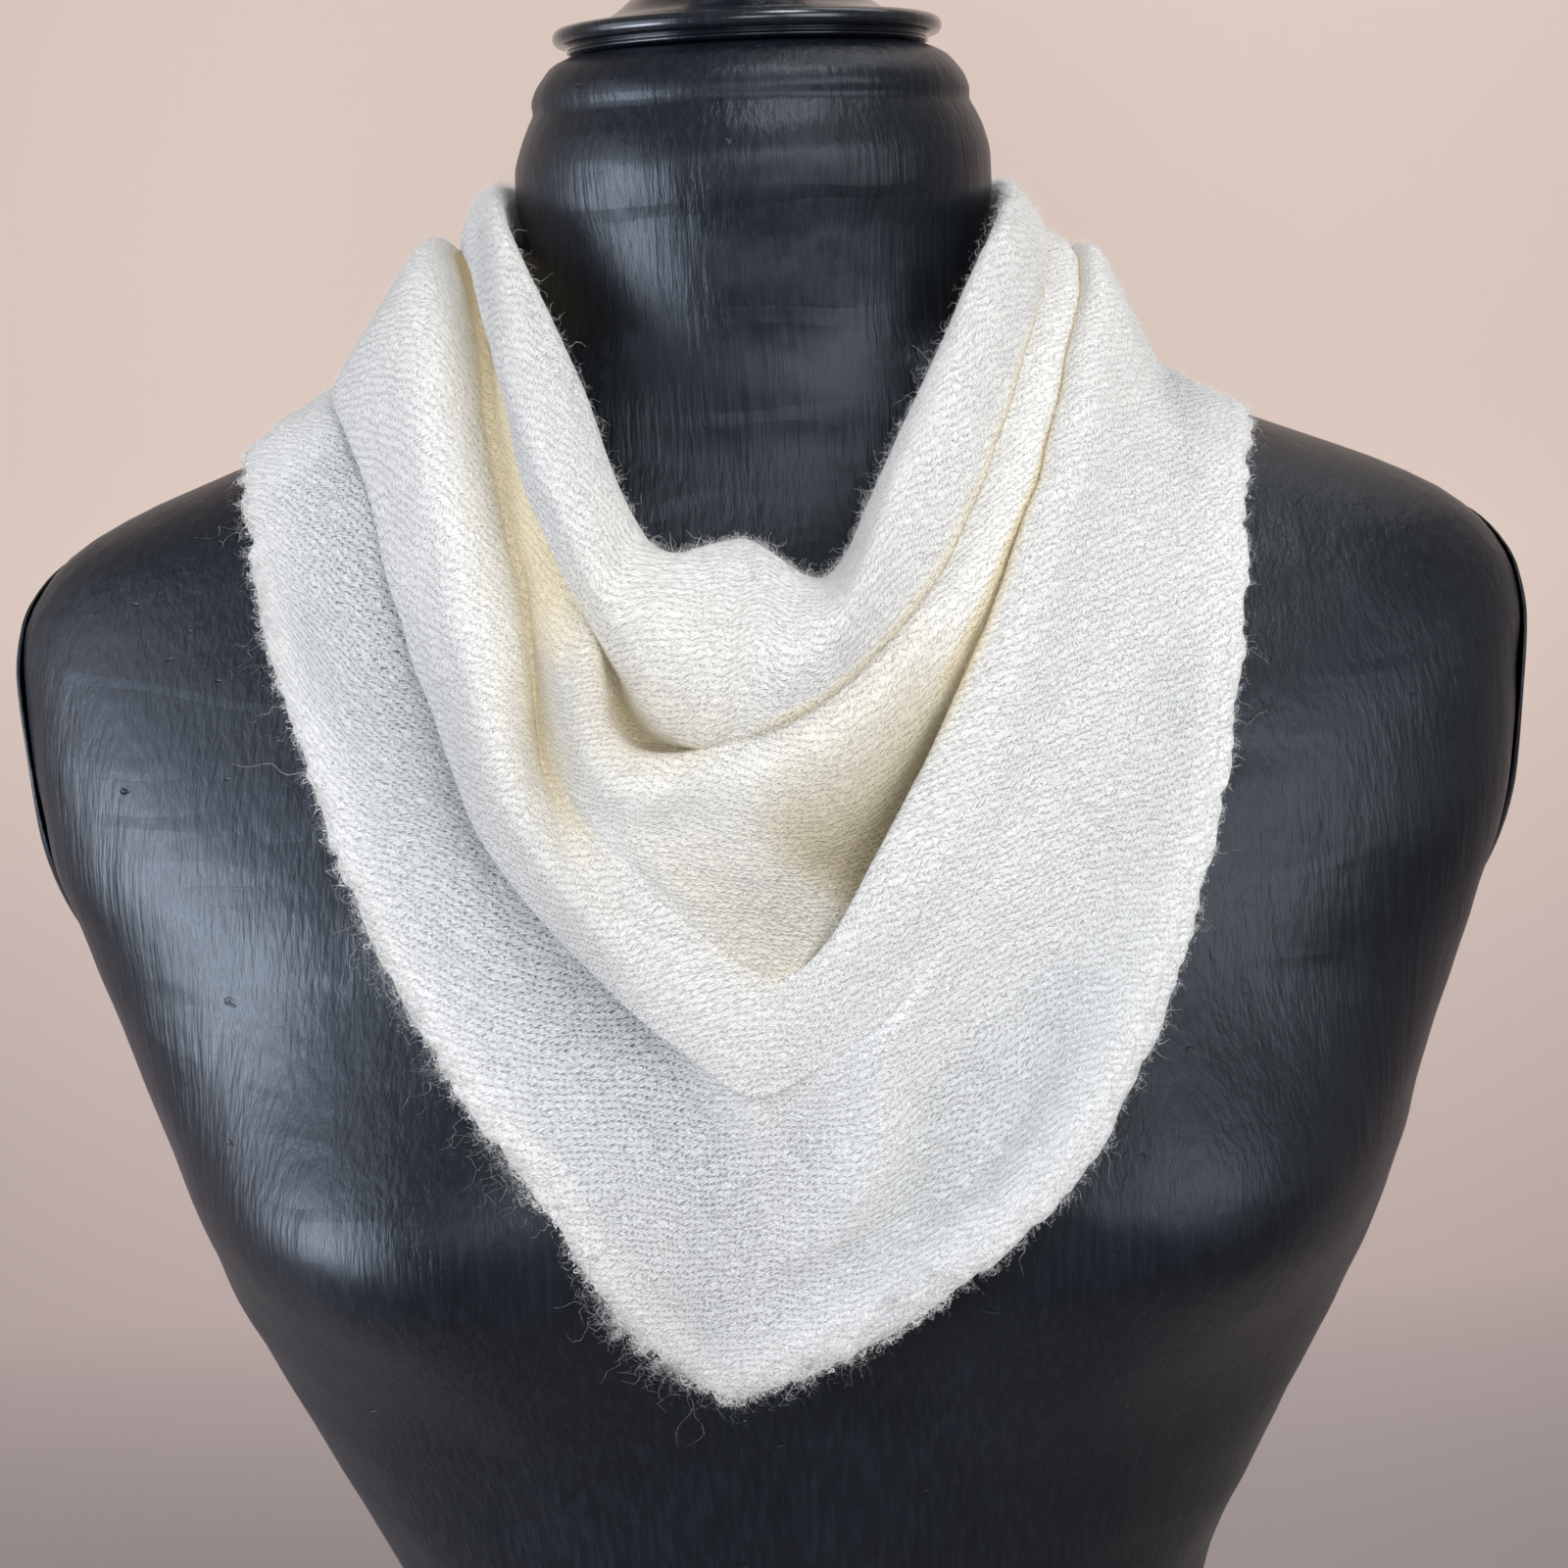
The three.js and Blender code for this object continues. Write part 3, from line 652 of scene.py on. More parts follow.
@dataclass(frozen=True)
class FormShape:
    """The body of the dress form: flat sections with two soft mounds for the bust.

    A section is the curve |x / half_width|^q + |y / depth|^q = 1 with depth front or back.
    """

    #             z   half_width  front   back  squareness
    sections: tuple[tuple[float, ...], ...] = (
        (0, 154, 104, 118, 2.4), (60, 146, 100, 112, 2.4), (120, 118, 91, 90, 2.3),
        (160, 101, 84, 76, 2.2), (190, 97, 82, 72, 2.2), (225, 104, 86, 76, 2.2),
        (256, 112, 90, 83, 2.2), (289, 127, 94, 91, 2.25), (317, 140, 97, 99, 2.3),
        (341, 150, 101, 104, 2.35), (369, 158, 105, 108, 2.4), (399, 168, 103, 112, 2.4),
        (429, 178, 98, 113, 2.45), (460, 187, 90, 110, 2.5), (485, 190, 80, 105, 2.5),
        (500, 191, 73, 100, 2.45), (512, 189, 66, 96, 2.4), (522, 183, 61, 92, 2.35),
        (530, 174, 58, 88, 2.25), (538, 159, 56, 84, 2.15), (545, 142, 55, 80, 2.05),
        (552, 123, 54, 76, 2), (559, 107, 54, 72, 2), (565, 93, 54, 68, 2), (570, 78, 54, 65, 2),
        (575, 66, 54, 62, 2), (582, 59, 54.5, 59, 2), (600, 58, 56, 57, 2),
        (612, 59.3, 58.2, 58.5, 2), (618, 59.1, 58.6, 58.6, 2), (624, 57.6, 57.4, 57.3, 2),
        (629, 55.6, 55.4, 55.3, 2), (632, 54.3, 54.2, 54.1, 2), (634, 54.6, 54.5, 54.4, 2),
        (637, 53.8, 53.7, 53.6, 2), (640, 51.8, 51.7, 51.6, 2), (642.6, 48.8, 48.7, 48.6, 2),
        (644.5, 44.6, 44.6, 44.6, 2),
    )
    bust_azimuth: float = 40.0
    bust_z: float = 377.0
    bust_proud: float = 26.0
    bust_spread_azimuth: float = 21.0
    bust_spread_z: float = 40.0

    def _section(self, z: np.ndarray) -> list[np.ndarray]:
        """Sizes of the section at each height.

        Args:
            z: Heights, any shape.

        Returns:
            half_width, front, back and squareness, each of that shape.
        """
        table = np.array(self.sections, float)
        knots, values = table[:, 0], table[:, 1:]
        span, share = knot_spans(knots, np.ravel(z))
        found = cubic(knots, values, steady_slopes(knots, values), span, share)
        return [found[:, k].reshape(np.shape(z)) for k in range(values.shape[1])]

    def radius(self, azimuth: np.ndarray, z: np.ndarray) -> np.ndarray:
        """Radius of the form.

        Args:
            azimuth: Degrees from the front towards +X.
            z: Heights, the same shape.

        Returns:
            The distance of the surface from the neck axis.
        """
        turned = (azimuth + 540.0) % 360.0 - 180.0
        across, along = np.abs(np.sin(np.radians(turned))), np.cos(np.radians(turned))
        half_width, front, back, power = self._section(z)
        depth = np.where(along >= 0.0, front, back)
        total = (across / half_width) ** power + (np.abs(along) / depth) ** power
        rise = np.exp(-(((z - self.bust_z) / self.bust_spread_z) ** 2))
        mounds = sum(
            np.exp(-(((turned - side * self.bust_azimuth) / self.bust_spread_azimuth) ** 2))
            for side in (-1, 1)
        )
        return total ** (-1.0 / power) + self.bust_proud * rise * mounds

    def half_width(self, z: np.ndarray) -> np.ndarray:
        """Half the width of the section at each height."""
        return self._section(z)[0]

    def point(
        self, azimuth: np.ndarray, z: np.ndarray, off: np.ndarray | float = 0.0
    ) -> np.ndarray:
        """Points on the surface, or level off it.

        Args:
            azimuth: Degrees from the front towards +X.
            z: Heights, the same shape.
            off: How far off the surface.

        Returns:
            Points, shape (..., 3).
        """
        r = self.radius(azimuth, z) + off
        turn = np.radians(azimuth)
        return np.stack([r * np.sin(turn), -r * np.cos(turn), z * np.ones_like(r)], axis=-1)

    def gap(self, points: np.ndarray) -> np.ndarray:
        """How far points lie outside the surface, measured level from the neck axis."""
        azimuth = np.degrees(np.arctan2(points[..., 0], -points[..., 1]))
        return np.hypot(points[..., 0], points[..., 1]) - self.radius(azimuth, points[..., 2])

    def clear(self, points: np.ndarray, clearance: float, passes: int = 6) -> np.ndarray:
        """Points moved straight out of the form until they clear its surface.

        Args:
            points: Places, shape (..., 3).
            clearance: The least distance wanted.
            passes: How often the move is worked out again.

        Returns:
            The moved points.
        """
        moved = points.copy()
        steps = np.eye(3) * 0.5  # Half a millimetre each way, so a difference is a slope.
        for _ in range(passes):
            slope = np.stack([self.gap(moved + h) - self.gap(moved - h) for h in steps], axis=-1)
            length = np.linalg.norm(slope, axis=-1)
            short = np.maximum(clearance - self.gap(moved) / length, 0.0)
            moved = moved + (short / length)[..., None] * slope
        return moved


@dataclass
class DressForm:
    """The limbless form: body with its capped neck, armhole plates, flange and turned finial."""

    shape: FormShape = field(default_factory=FormShape)
    turns: int = 160
    ring_step: float = 4.0
    neck_z: float = 600.0
    top_z: float = 644.5
    dent: float = 0.35
    dents: Ripples = ((1.0, 60.0, 3), (0.6, 24.0, 4))
    plate_height: float = 472.0
    plate_half_tall: float = 54.0
    plate_half_deep: float = 34.0
    plate_forward: float = 10.0
    plate_skin: float = 0.25
    plate_top: float = 0.9
    plate_foot: float = 4.2
    # Profiles of the turned pieces: radius and height, from the underside up.
    flange_profile: tuple[tuple[float, float], ...] = (
        (42.8, 644.9), (44.4, 645.8), (44, 646.9), (46.6, 647.5), (47.7, 649), (47.2, 650.8),
        (45.4, 651.7), (40, 652.1),
    )
    finial_profile: tuple[tuple[float, float], ...] = (
        (38, 652.4), (33.5, 654), (29, 657.4), (24, 662), (20, 668), (18, 676), (19.6, 680),
        (19.6, 683), (17, 685.5), (21.5, 691), (24, 699), (22.5, 707), (17, 714), (9, 718.4),
        (0.6, 720),
    )

    def body(self) -> Skin:
        """The body: rings every few millimetres, with shallow dents of the paper layers.

        Returns:
            The closed skin.
        """
        neck, top = self.neck_z, self.top_z
        heights = np.concatenate([np.arange(0.0, neck, self.ring_step), np.linspace(neck, top, 42)])
        azimuth, z = np.meshgrid(np.arange(self.turns) * 360.0 / self.turns, heights)
        plain = self.shape.point(azimuth, z)
        dents = self.dent * ripples(plain, self.dents) - self.dent
        ends = smoothstep(0.0, 12.0, z) * smoothstep(top, 640.0, z)
        return closed_loft(self.shape.point(azimuth, z, dents * ends))

    def plate(self, side: int) -> Skin:
        """An oval plate that closes an armhole: a patch of the form's side moved out.

        Args:
            side: -1 for the left plate and 1 for the right one.

        Returns:
            The closed plate, its inner face first.
        """
        shares = np.array([0.02, 0.2, 0.4, 0.6, 0.75, 0.86, 0.93, 0.97, 1.0])[:, None]
        turn = (side * np.arange(64) * 2.0 * math.pi / 64)[None, :]

        def face(off: np.ndarray | float) -> np.ndarray:
            """Rings of the plate off the form, by repeated half steps towards it.

            Args:
                off: The distance off the form.

            Returns:
                Points, shape (rings, points in a ring, 3).
            """
            z = self.plate_height + self.plate_half_tall * shares * np.sin(turn)
            y = self.plate_forward + self.plate_half_deep * shares * np.cos(turn)
            x = self.shape.half_width(z)
            for _ in range(30):
                x = x - 0.5 * self.shape.gap(np.stack([x, y, z], axis=-1))
            return np.stack([side * (x + off), y, z], axis=-1)

        low = smoothstep(0.2, -0.9, shares * np.sin(turn))
        crown = lerp(lerp(self.plate_top, self.plate_foot, low), 0.7, shares**14)
        rings = np.concatenate([face(self.plate_skin), face(self.plate_skin + crown)[::-1]])
        return closed_loft(rings)

    @staticmethod
    def turned(profile: tuple[tuple[float, float], ...], turns: int = 96, fine: int = 4) -> Skin:
        """A turned piece: the profile smoothed by a cubic and carried round the neck axis.

        Args:
            profile: Radius and height from the underside up.
            turns: Steps round the axis.
            fine: Steps between two points of the profile.

        Returns:
            The closed skin.
        """
        table = np.array(profile, float)
        knots = np.concatenate([[0.0], np.cumsum(np.linalg.norm(np.diff(table, axis=0), axis=1))])
        numbers = np.arange((len(table) - 1) * fine + 1) / fine
        at = np.interp(numbers, np.arange(len(table)), knots)
        span, share = knot_spans(knots, at)
        smooth = cubic(knots, table, chord_slopes(knots, table), span, share)
        turn = np.arange(turns) * 2.0 * math.pi / turns
        r, z = smooth[:, :1], smooth[:, 1:] * np.ones(turns)
        return closed_loft(np.stack([r * np.sin(turn), -r * np.cos(turn), z], axis=-1))

    def build(self) -> list[bpy.types.Object]:
        """Makes and dresses every piece of the form.

        Returns:
            The pieces, the body first.
        """
        satin = BlackPaint("black_paint_satin", Gloss.SATIN).material()
        gloss = BlackPaint("black_paint_gloss", Gloss.GLOSS, ridge_mm=0.12, paper_mm=0.2).material()
        plan = (
            ("form_body", ("torso", "neck_cap"), self.body(), satin, "painted_paper"),
            ("plate_left", ("armhole_plate_left",), self.plate(-1), satin, "painted_paper"),
            ("plate_right", ("armhole_plate_right",), self.plate(1), satin, "painted_paper"),
            ("neck_flange", ("flange",), self.turned(self.flange_profile), gloss, "gloss_paint"),
            ("turned_finial", ("finial",), self.turned(self.finial_profile), gloss, "gloss_paint"),
        )
        made = []
        for name, nodes, skin, material, slot in plan:
            piece = skin.piece(name)
            piece.data.materials.append(material)
            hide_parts(*nodes)
            made.append(piece)
        return made


# ---- The scarf ----


@dataclass(frozen=True)
class FoldLine:
    """A line of the scarf from the left shoulder to the right one, at the front stations.

    share is its place in the bundle behind the neck, 0 at the neckline and 1 at the hem; proud is
    how far it stands off the bundle; steps is the number of faces from it to the next line.
    """

    name: str
    share: float
    proud: float
    steps: int
    across: tuple[float, ...]
    forward: tuple[float, ...]
    up: tuple[float, ...]


@dataclass(frozen=True)
class Bundle:
    """Where the scarf passes behind the neck, at one station a side.

    beyond is how far past the shoulder's station it is; neckline and hem are from the middle,
    behind the neck axis and in height; facing is in degrees from straight back.
    """

    beyond: float
    facing: float
    fullness: float
    neckline: tuple[float, float, float]
    hem: tuple[float, float, float]


@dataclass(frozen=True)
class Crease:
    """A soft trough (depth below 0) or ridge pressed into the front of the cloth.

    path is a run of (across, up) points; reach is its half width; it fades towards its ends.
    """

    path: tuple[tuple[float, float], ...]
    reach: float
    depth: float


STATIONS = (-260, -221, -179, -146, -113, -90, -66, -43, -20, 47, 114, 197, 250)

FOLD_LINES = (
    FoldLine("neckline", 0, 1, 10,
             (-64, -59.5, -44, -36.5, -28.5, -21.5, -15, -9.5, -4, 14, 31, 56, 63.5),
             (-6, 42, 68, 78, 85, 87, 87, 87, 87, 89, 77, 48, -6),
             (614.5, 605.5, 572.5, 552, 536, 532, 533, 534, 534, 526, 554, 598.5, 611)),
    FoldLine("roll crest", 0.1, 8, 9,
             (-69.5, -61.5, -50.5, -42.5, -34.5, -27.5, -21, -14.5, -8, 14, 32, 59, 68),
             (-4, 54, 81, 92, 100, 104, 107, 109.5, 111, 108, 86, 51, -4),
             (611.5, 583, 558, 541.5, 527, 522, 519, 516.5, 515, 518, 545, 590, 607)),
    FoldLine("roll lower edge", 0.22, 5, 4,
             (-72, -62, -55, -46.5, -37, -31.5, -26, -20, -13, 13, 40, 63, 72),
             (-2, 47, 73, 86.5, 98, 103.5, 107.5, 111.5, 113.5, 106.5, 84, 46, -3),
             (603, 579, 551, 532, 515, 508.5, 503, 498, 495, 504, 529, 576, 601)),
    FoldLine("second fold upper edge", 0.32, 3, 4,
             (-69.5, -60.5, -54, -45.5, -39.5, -38, -36, -29, -16.5, 13.5, 41.5, 63.5, 73.5),
             (-4, 45, 71, 85.5, 99, 103.5, 106, 108.5, 113, 106.5, 82, 44.5, -2),
             (600, 577.5, 549, 528, 514, 506, 497, 491.5, 492, 503.5, 527, 573, 596.5)),
    FoldLine("second fold crest", 0.42, 8, 7,
             (-69.5, -61, -54.5, -48, -45, -43.5, -40.5, -33, -21, 14, 46, 67.5, 76.5),
             (-5, 42, 68.5, 84.5, 99.5, 105, 109, 112, 115, 108.5, 80.5, 46.5, -2),
             (597, 575.5, 546.5, 524, 507.5, 498.5, 491, 485.5, 485, 495, 527, 571.5, 597.5)),
    FoldLine("pocket", 0.5, 4, 12,
             (-70, -62.5, -56, -52.5, -50, -48, -44, -37.5, -27, 15, 51, 71.5, 78.5),
             (-6, 38, 65, 78, 88, 95, 102, 106.5, 110, 102, 78.5, 44.5, -2),
             (594.5, 574, 543, 519, 501.5, 491, 482.5, 476, 473, 477, 524, 569.5, 594.5)),
    FoldLine("pocket valley", 0.58, 1, 5,
             (-73.5, -66, -59.5, -55, -53, -50.5, -43.5, -30.5, -3, 24.5, 53, 71.5, 79),
             (-5, 34, 62.5, 75, 84, 94, 104, 109, 111.5, 92, 75, 42.5, -3),
             (598, 574.5, 539, 517, 496, 485.5, 475, 462.5, 442, 469, 522.5, 568.5, 593)),
    FoldLine("third fold edge", 0.63, 7, 5,
             (-75, -69.5, -63, -58.5, -55.5, -52, -44, -28, -2.5, 24.5, 53, 71.5, 79.5),
             (-2, 36.5, 67, 81.5, 92, 99.5, 106, 110.5, 112, 104.5, 80, 46.5, -1),
             (600, 576, 535.5, 513.5, 491.5, 479.5, 467.5, 452, 438.5, 471.5, 523, 569, 593)),
    FoldLine("third fold crest", 0.7, 11, 11,
             (-81, -80.5, -72, -65.5, -59, -52.5, -42.5, -27.5, -4, 32.5, 60, 77, 84.5),
             (1, 39, 75.5, 91, 102, 107, 110.5, 112, 113, 108, 83.5, 49.5, 0),
             (602.5, 582, 532.5, 506.5, 484.5, 470.5, 457, 443, 430.5, 464, 518.5, 568.5, 595)),
    FoldLine("third fold foot", 0.84, 3, 4,
             (-105, -97, -82, -74, -65.5, -54, -40, -24.5, -5, 40, 69, 88, 99),
             (0, 36, 68, 80.5, 91, 98, 104, 109, 112, 106, 79, 47, 0),
             (569, 555, 509, 487.5, 469, 454.5, 440, 425.5, 414, 451, 505, 555, 566)),
    FoldLine("panel", 0.92, 4, 18,
             (-117, -113, -99, -90.5, -81, -67, -48, -29, -9, 57, 85, 100, 110),
             (0, 32, 65, 78, 88, 95.5, 102, 108.5, 112, 103, 80, 44, 0),
             (561, 551, 507, 484.5, 463, 439.5, 414, 391.5, 381, 433, 486, 545, 559)),
    FoldLine("hem", 1, 1, 0,
             (-124.5, -125.5, -119, -107, -93, -77, -57, -37, -13.5, 59.5, 99, 114.5, 116),
             (-2, 30, 56, 74, 90, 95.5, 99, 104, 109, 121, 87, 42, -2),
             (554, 545, 515, 482.5, 447, 416.5, 385, 357, 341.5, 391, 463, 539.5, 553.5)),
)

BUNDLES = (
    Bundle(65, 45, 1.0, neckline=(47, 46, 608), hem=(68, 62, 561)),
    Bundle(110, 0, 0.7, neckline=(17.5, 66, 604), hem=(15.5, 72, 572)),
)

CREASES = (
    Crease(((-35, 439), (-23, 417), (-12, 397)), 7.0, -2.6),
    Crease(((26, 446), (22, 427), (20, 405), (14, 386), (4, 376)), 8.0, 6.0),
    Crease(((84, 440), (73, 419), (60, 400), (46, 384), (26, 367), (2, 356)), 9.0, 4.0),
    Crease(((-9, 365), (9, 373), (19, 382), (41, 396), (56, 415), (64, 431)), 7.0, -3.6),
    Crease(((-4, 421), (2, 403), (5, 385)), 7.0, -2.0),
    Crease(((-70, 505), (-58, 474), (-46, 455)), 6.0, -1.2),
    Crease(((46, 470), (52, 450), (50, 425)), 9.0, 1.2),
    Crease(((-80, 470), (-66, 440), (-48, 410)), 8.0, 1.0),
)


@dataclass(frozen=True)
class Layout:
    """The cloth's grid: a row of points at each station, a column at each place.

    A place is counted in lines from the top, with a share of the way to the next one.
    """

    names: list[str]
    places: np.ndarray
    stations: np.ndarray

    def line(self, name: str) -> float:
        """The place of a line."""
        return float(self.names.index(name))

    def grid(self, value: np.ndarray | float) -> np.ndarray:
        """A value for each place spread over the whole grid."""
        return value * np.ones((len(self.stations), 1))


@dataclass
class Drape:
    """The scarf as one sheet: lines round the neck joined by a smooth curve at each station."""

    shape: FormShape
    columns: int = 311
    wall: float = 1.7
    clearance: float = 0.5
    tuck_depth: float = 7.0
    layer: float = 1.1
    overlap: float = 3.8
    lip_depth: float = 15.0
    lip_inset: float = 8.0
    lip_turn: float = 5.0
    valley_width: float = 4.0
    # The two stations, or distances forward for the lip, over which each shape comes or goes.
    lip_faces: tuple[float, float] = (20.0, 85.0)
    pocket_opens: tuple[float, float] = (-140.0, -108.0)
    pocket_shuts: tuple[float, float] = (12.0, -22.0)
    tucks_under: tuple[float, float] = (-18.0, 22.0)
    step_starts: tuple[float, float] = (-262.0, -235.0)
    step_ends: tuple[float, float] = (-22.0, -62.0)
    hidden_steps: dict[str, int] = field(
        default_factory=lambda: {
            "inner lip": 5, "lip turn": 3, "tuck ceiling": 3, "tuck": 3, "tuck floor": 4,
            "valley near side": 3, "valley": 3, "fold under": 4, "panel start": 16,
        }
    )

    @staticmethod
    def _all_stations() -> np.ndarray:
        """The front stations with the bundle's at each end.

        Returns:
            Rising stations, shape (K,).
        """
        left = [STATIONS[0] - bundle.beyond for bundle in reversed(BUNDLES)]
        right = [STATIONS[-1] + bundle.beyond for bundle in BUNDLES]
        return np.array([*left, *STATIONS, *right], float)

    @staticmethod
    def _behind(bundle: Bundle, line: FoldLine, side: int) -> np.ndarray:
        """A line's place in the bundle behind the neck.

        Args:
            bundle: Where the scarf passes.
            line: The line.
            side: -1 for the left and 1 for the right.

        Returns:
            The place, shape (3,).
        """
        across, behind, up = lerp(np.array(bundle.neckline), np.array(bundle.hem), line.share)
        off, turn = line.proud * bundle.fullness, math.radians(bundle.facing)
        return np.array([side * (across + off * math.sin(turn)), behind + off * math.cos(turn), up])

    def _line(self, line: FoldLine, at: np.ndarray) -> np.ndarray:
        """Points of one line at stations.

        Args:
            line: The line.
            at: Stations, shape (N,).

        Returns:
            Points, shape (N, 3).
        """
        front = np.stack([line.across, -np.array(line.forward, float), line.up], axis=-1)
        left = [self._behind(bundle, line, -1) for bundle in reversed(BUNDLES)]
        right = [self._behind(bundle, line, 1) for bundle in BUNDLES]
        values = np.concatenate([np.array(left), front, np.array(right)])
        knots = self._all_stations()
        span, share = knot_spans(knots, at)
        return cubic(knots, values, chord_slopes(knots, values), span, share)

    @staticmethod
    def _inward(points: np.ndarray, inward: np.ndarray | float, rise: Any) -> np.ndarray:
        """Points moved level towards the neck axis, and in height.

        Args:
            points: Places, shape (N, 3).
            inward: How far towards the axis.
            rise: How far up.

        Returns:
            The moved points.
        """
        level = np.hypot(points[:, 0], points[:, 1])
        keep = 1.0 - inward / level
        return np.stack([points[:, 0] * keep, points[:, 1] * keep, points[:, 2] + rise], axis=-1)

    @staticmethod
    def _facing(
        shown: dict[str, np.ndarray], first: str, last: str, points: np.ndarray
    ) -> np.ndarray:
        """Unit directions off the cloth at a line, from its neighbours above and below it.

        Args:
            shown: The lines' points by name.
            first: The line above.
            last: The line below.
            points: The line's own points, shape (N, 3).

        Returns:
            Directions, shape (N, 3), half way to straight away from the neck axis.
        """
        across = np.cross(shown[last] - shown[first], np.gradient(points, axis=0))
        level = unit(points * np.array([1.0, 1.0, 0.0]))
        return unit(unit(across) + level)

    def _lines(self, at: np.ndarray) -> tuple[list[str], np.ndarray, list[int]]:
        """Every line at the stations, the hidden ones worked out from their neighbours.

        Args:
            at: Stations, shape (N,).

        Returns:
            The lines' names, their points, shape (N, lines, 3), and the faces after each.
        """
        shown = {line.name: self._line(line, at) for line in FOLD_LINES}
        steps = {line.name: line.steps for line in FOLD_LINES} | self.hidden_steps

        neckline = shown["neckline"]
        facing = lerp(0.45, 1.0, smoothstep(*self.lip_faces, -neckline[:, 1]))
        lip = {
            "inner lip": self._inward(neckline, self.lip_inset * facing, -self.lip_depth),
            "lip turn": self._inward(neckline, self.lip_turn * facing, -self.lip_turn / 2.0),
        }
        # The roll hangs over the second fold: an open pocket at the left, a flat overlap elsewhere.
        above, below = shown["roll lower edge"], shown["second fold upper edge"]
        off = self._facing(shown, "roll crest", "second fold crest", above)
        up = unit(shown["roll crest"] - above)
        flat = {
            "tuck ceiling": above + up * 1.0 - off * self.layer,
            "tuck": above + up * self.overlap - off * 2.0 * self.layer,
            "tuck floor": above + up * 1.2 - off * 3.0 * self.layer,
            "second fold upper edge": above - up * 1.2 - off * 2.8 * self.layer,
        }
        slit = below - above
        pocket = {
            "tuck ceiling": self._inward(above + slit * 0.5, self.tuck_depth * 0.8, 0.0),
            "tuck": self._inward(above + slit * 0.75, self.tuck_depth * 1.1, 0.0),
            "tuck floor": self._inward(below + slit * 0.1, self.tuck_depth * 0.9, 0.0),
            "second fold upper edge": below,
        }
        opened = smoothstep(*self.pocket_opens, at) * smoothstep(*self.pocket_shuts, at)
        opened = opened[:, None]
        tuck = {name: lerp(flat[name], pocket[name], opened) for name in flat}

        # The third fold hangs over the pocket at the right and runs smoothly into it at the left.
        bottom, edge = shown["pocket valley"], shown["third fold edge"]
        away = unit(shown["third fold crest"] - edge)
        aside = unit(edge - shown["pocket"]) * self.valley_width / 2.0
        under = smoothstep(*self.tucks_under, at)[:, None]
        valley = {
            "valley near side": lerp(bottom - aside, bottom, under),
            "valley": bottom + away * self.overlap * under,
            "pocket valley": lerp(
                bottom + aside, lerp(bottom, edge, 0.5) + away * self.overlap, under
            ),
        }

        # The third fold's outer edge lies on the panel: a clear step at left, a soft one at right.
        foot = shown["third fold foot"]
        off = self._facing(shown, "third fold crest", "panel", foot)
        out = unit(shown["panel"] - foot)
        step = (smoothstep(*self.step_starts, at) * smoothstep(*self.step_ends, at))[:, None]
        outer = {
            "third fold foot": foot + off * 1.2 * step - out * lerp(1.5, 0.0, step),
            "fold under": foot - off * lerp(0.3, 0.7, step) - out * self.overlap * 0.6 * step,
            "panel start": foot - off * lerp(0.5, 2.6, step) + out * lerp(2.0, 0.0, step),
        }

        ordered: dict[str, np.ndarray] = {**lip}
        swapped = {
            "second fold upper edge": tuck, "pocket valley": valley, "third fold foot": outer,
        }
        for name, points in shown.items():
            ordered |= swapped.get(name, {name: points})
        lines = np.stack(list(ordered.values()), axis=1)
        return list(ordered), lines, [steps[name] for name in ordered]

    def surface(self) -> tuple[np.ndarray, Layout]:
        """The middle of the cloth.

        A section's knots grow with the square root of the distance between lines, which keeps its
        tight turns free of loops.

        Returns:
            Points, shape (stations, places, 3), and their layout.
        """
        knots = self._all_stations()
        at = np.linspace(knots[0], knots[-1], self.columns)
        names, lines, steps = self._lines(at)
        parts = [k + np.arange(count) / count for k, count in enumerate(steps) if count]
        places = np.concatenate([*parts, [len(names) - 1]])
        jumps = np.sqrt(np.linalg.norm(np.diff(lines, axis=1), axis=-1))
        section = np.concatenate([np.zeros((len(at), 1)), np.cumsum(jumps, axis=1)], axis=1)
        span = np.minimum(places.astype(int), len(names) - 2)
        points = cubic(section, lines, chord_slopes(section, lines), span, places - span)
        return points, Layout(names, places, at)

    @staticmethod
    def relaxed(points: np.ndarray, passes: int) -> np.ndarray:
        """Points drawn half way to the mean of their four neighbours, again and again.

        Args:
            points: A grid of places, shape (rows, columns, 3).
            passes: How often.

        Returns:
            The moved points, with the grid's edges kept.
        """
        eased = points.copy()
        for _ in range(passes):
            ring = eased[:-2, 1:-1] + eased[2:, 1:-1] + eased[1:-1, :-2] + eased[1:-1, 2:]
            eased[1:-1, 1:-1] = lerp(eased[1:-1, 1:-1], ring / 4.0, 0.5)
        return eased

    @staticmethod
    def outward(points: np.ndarray) -> np.ndarray:
        """Unit normals of a sheet on its right side, from the two directions of its grid."""
        along, down = np.gradient(points, axis=0), np.gradient(points, axis=1)
        return unit(np.cross(down, along))

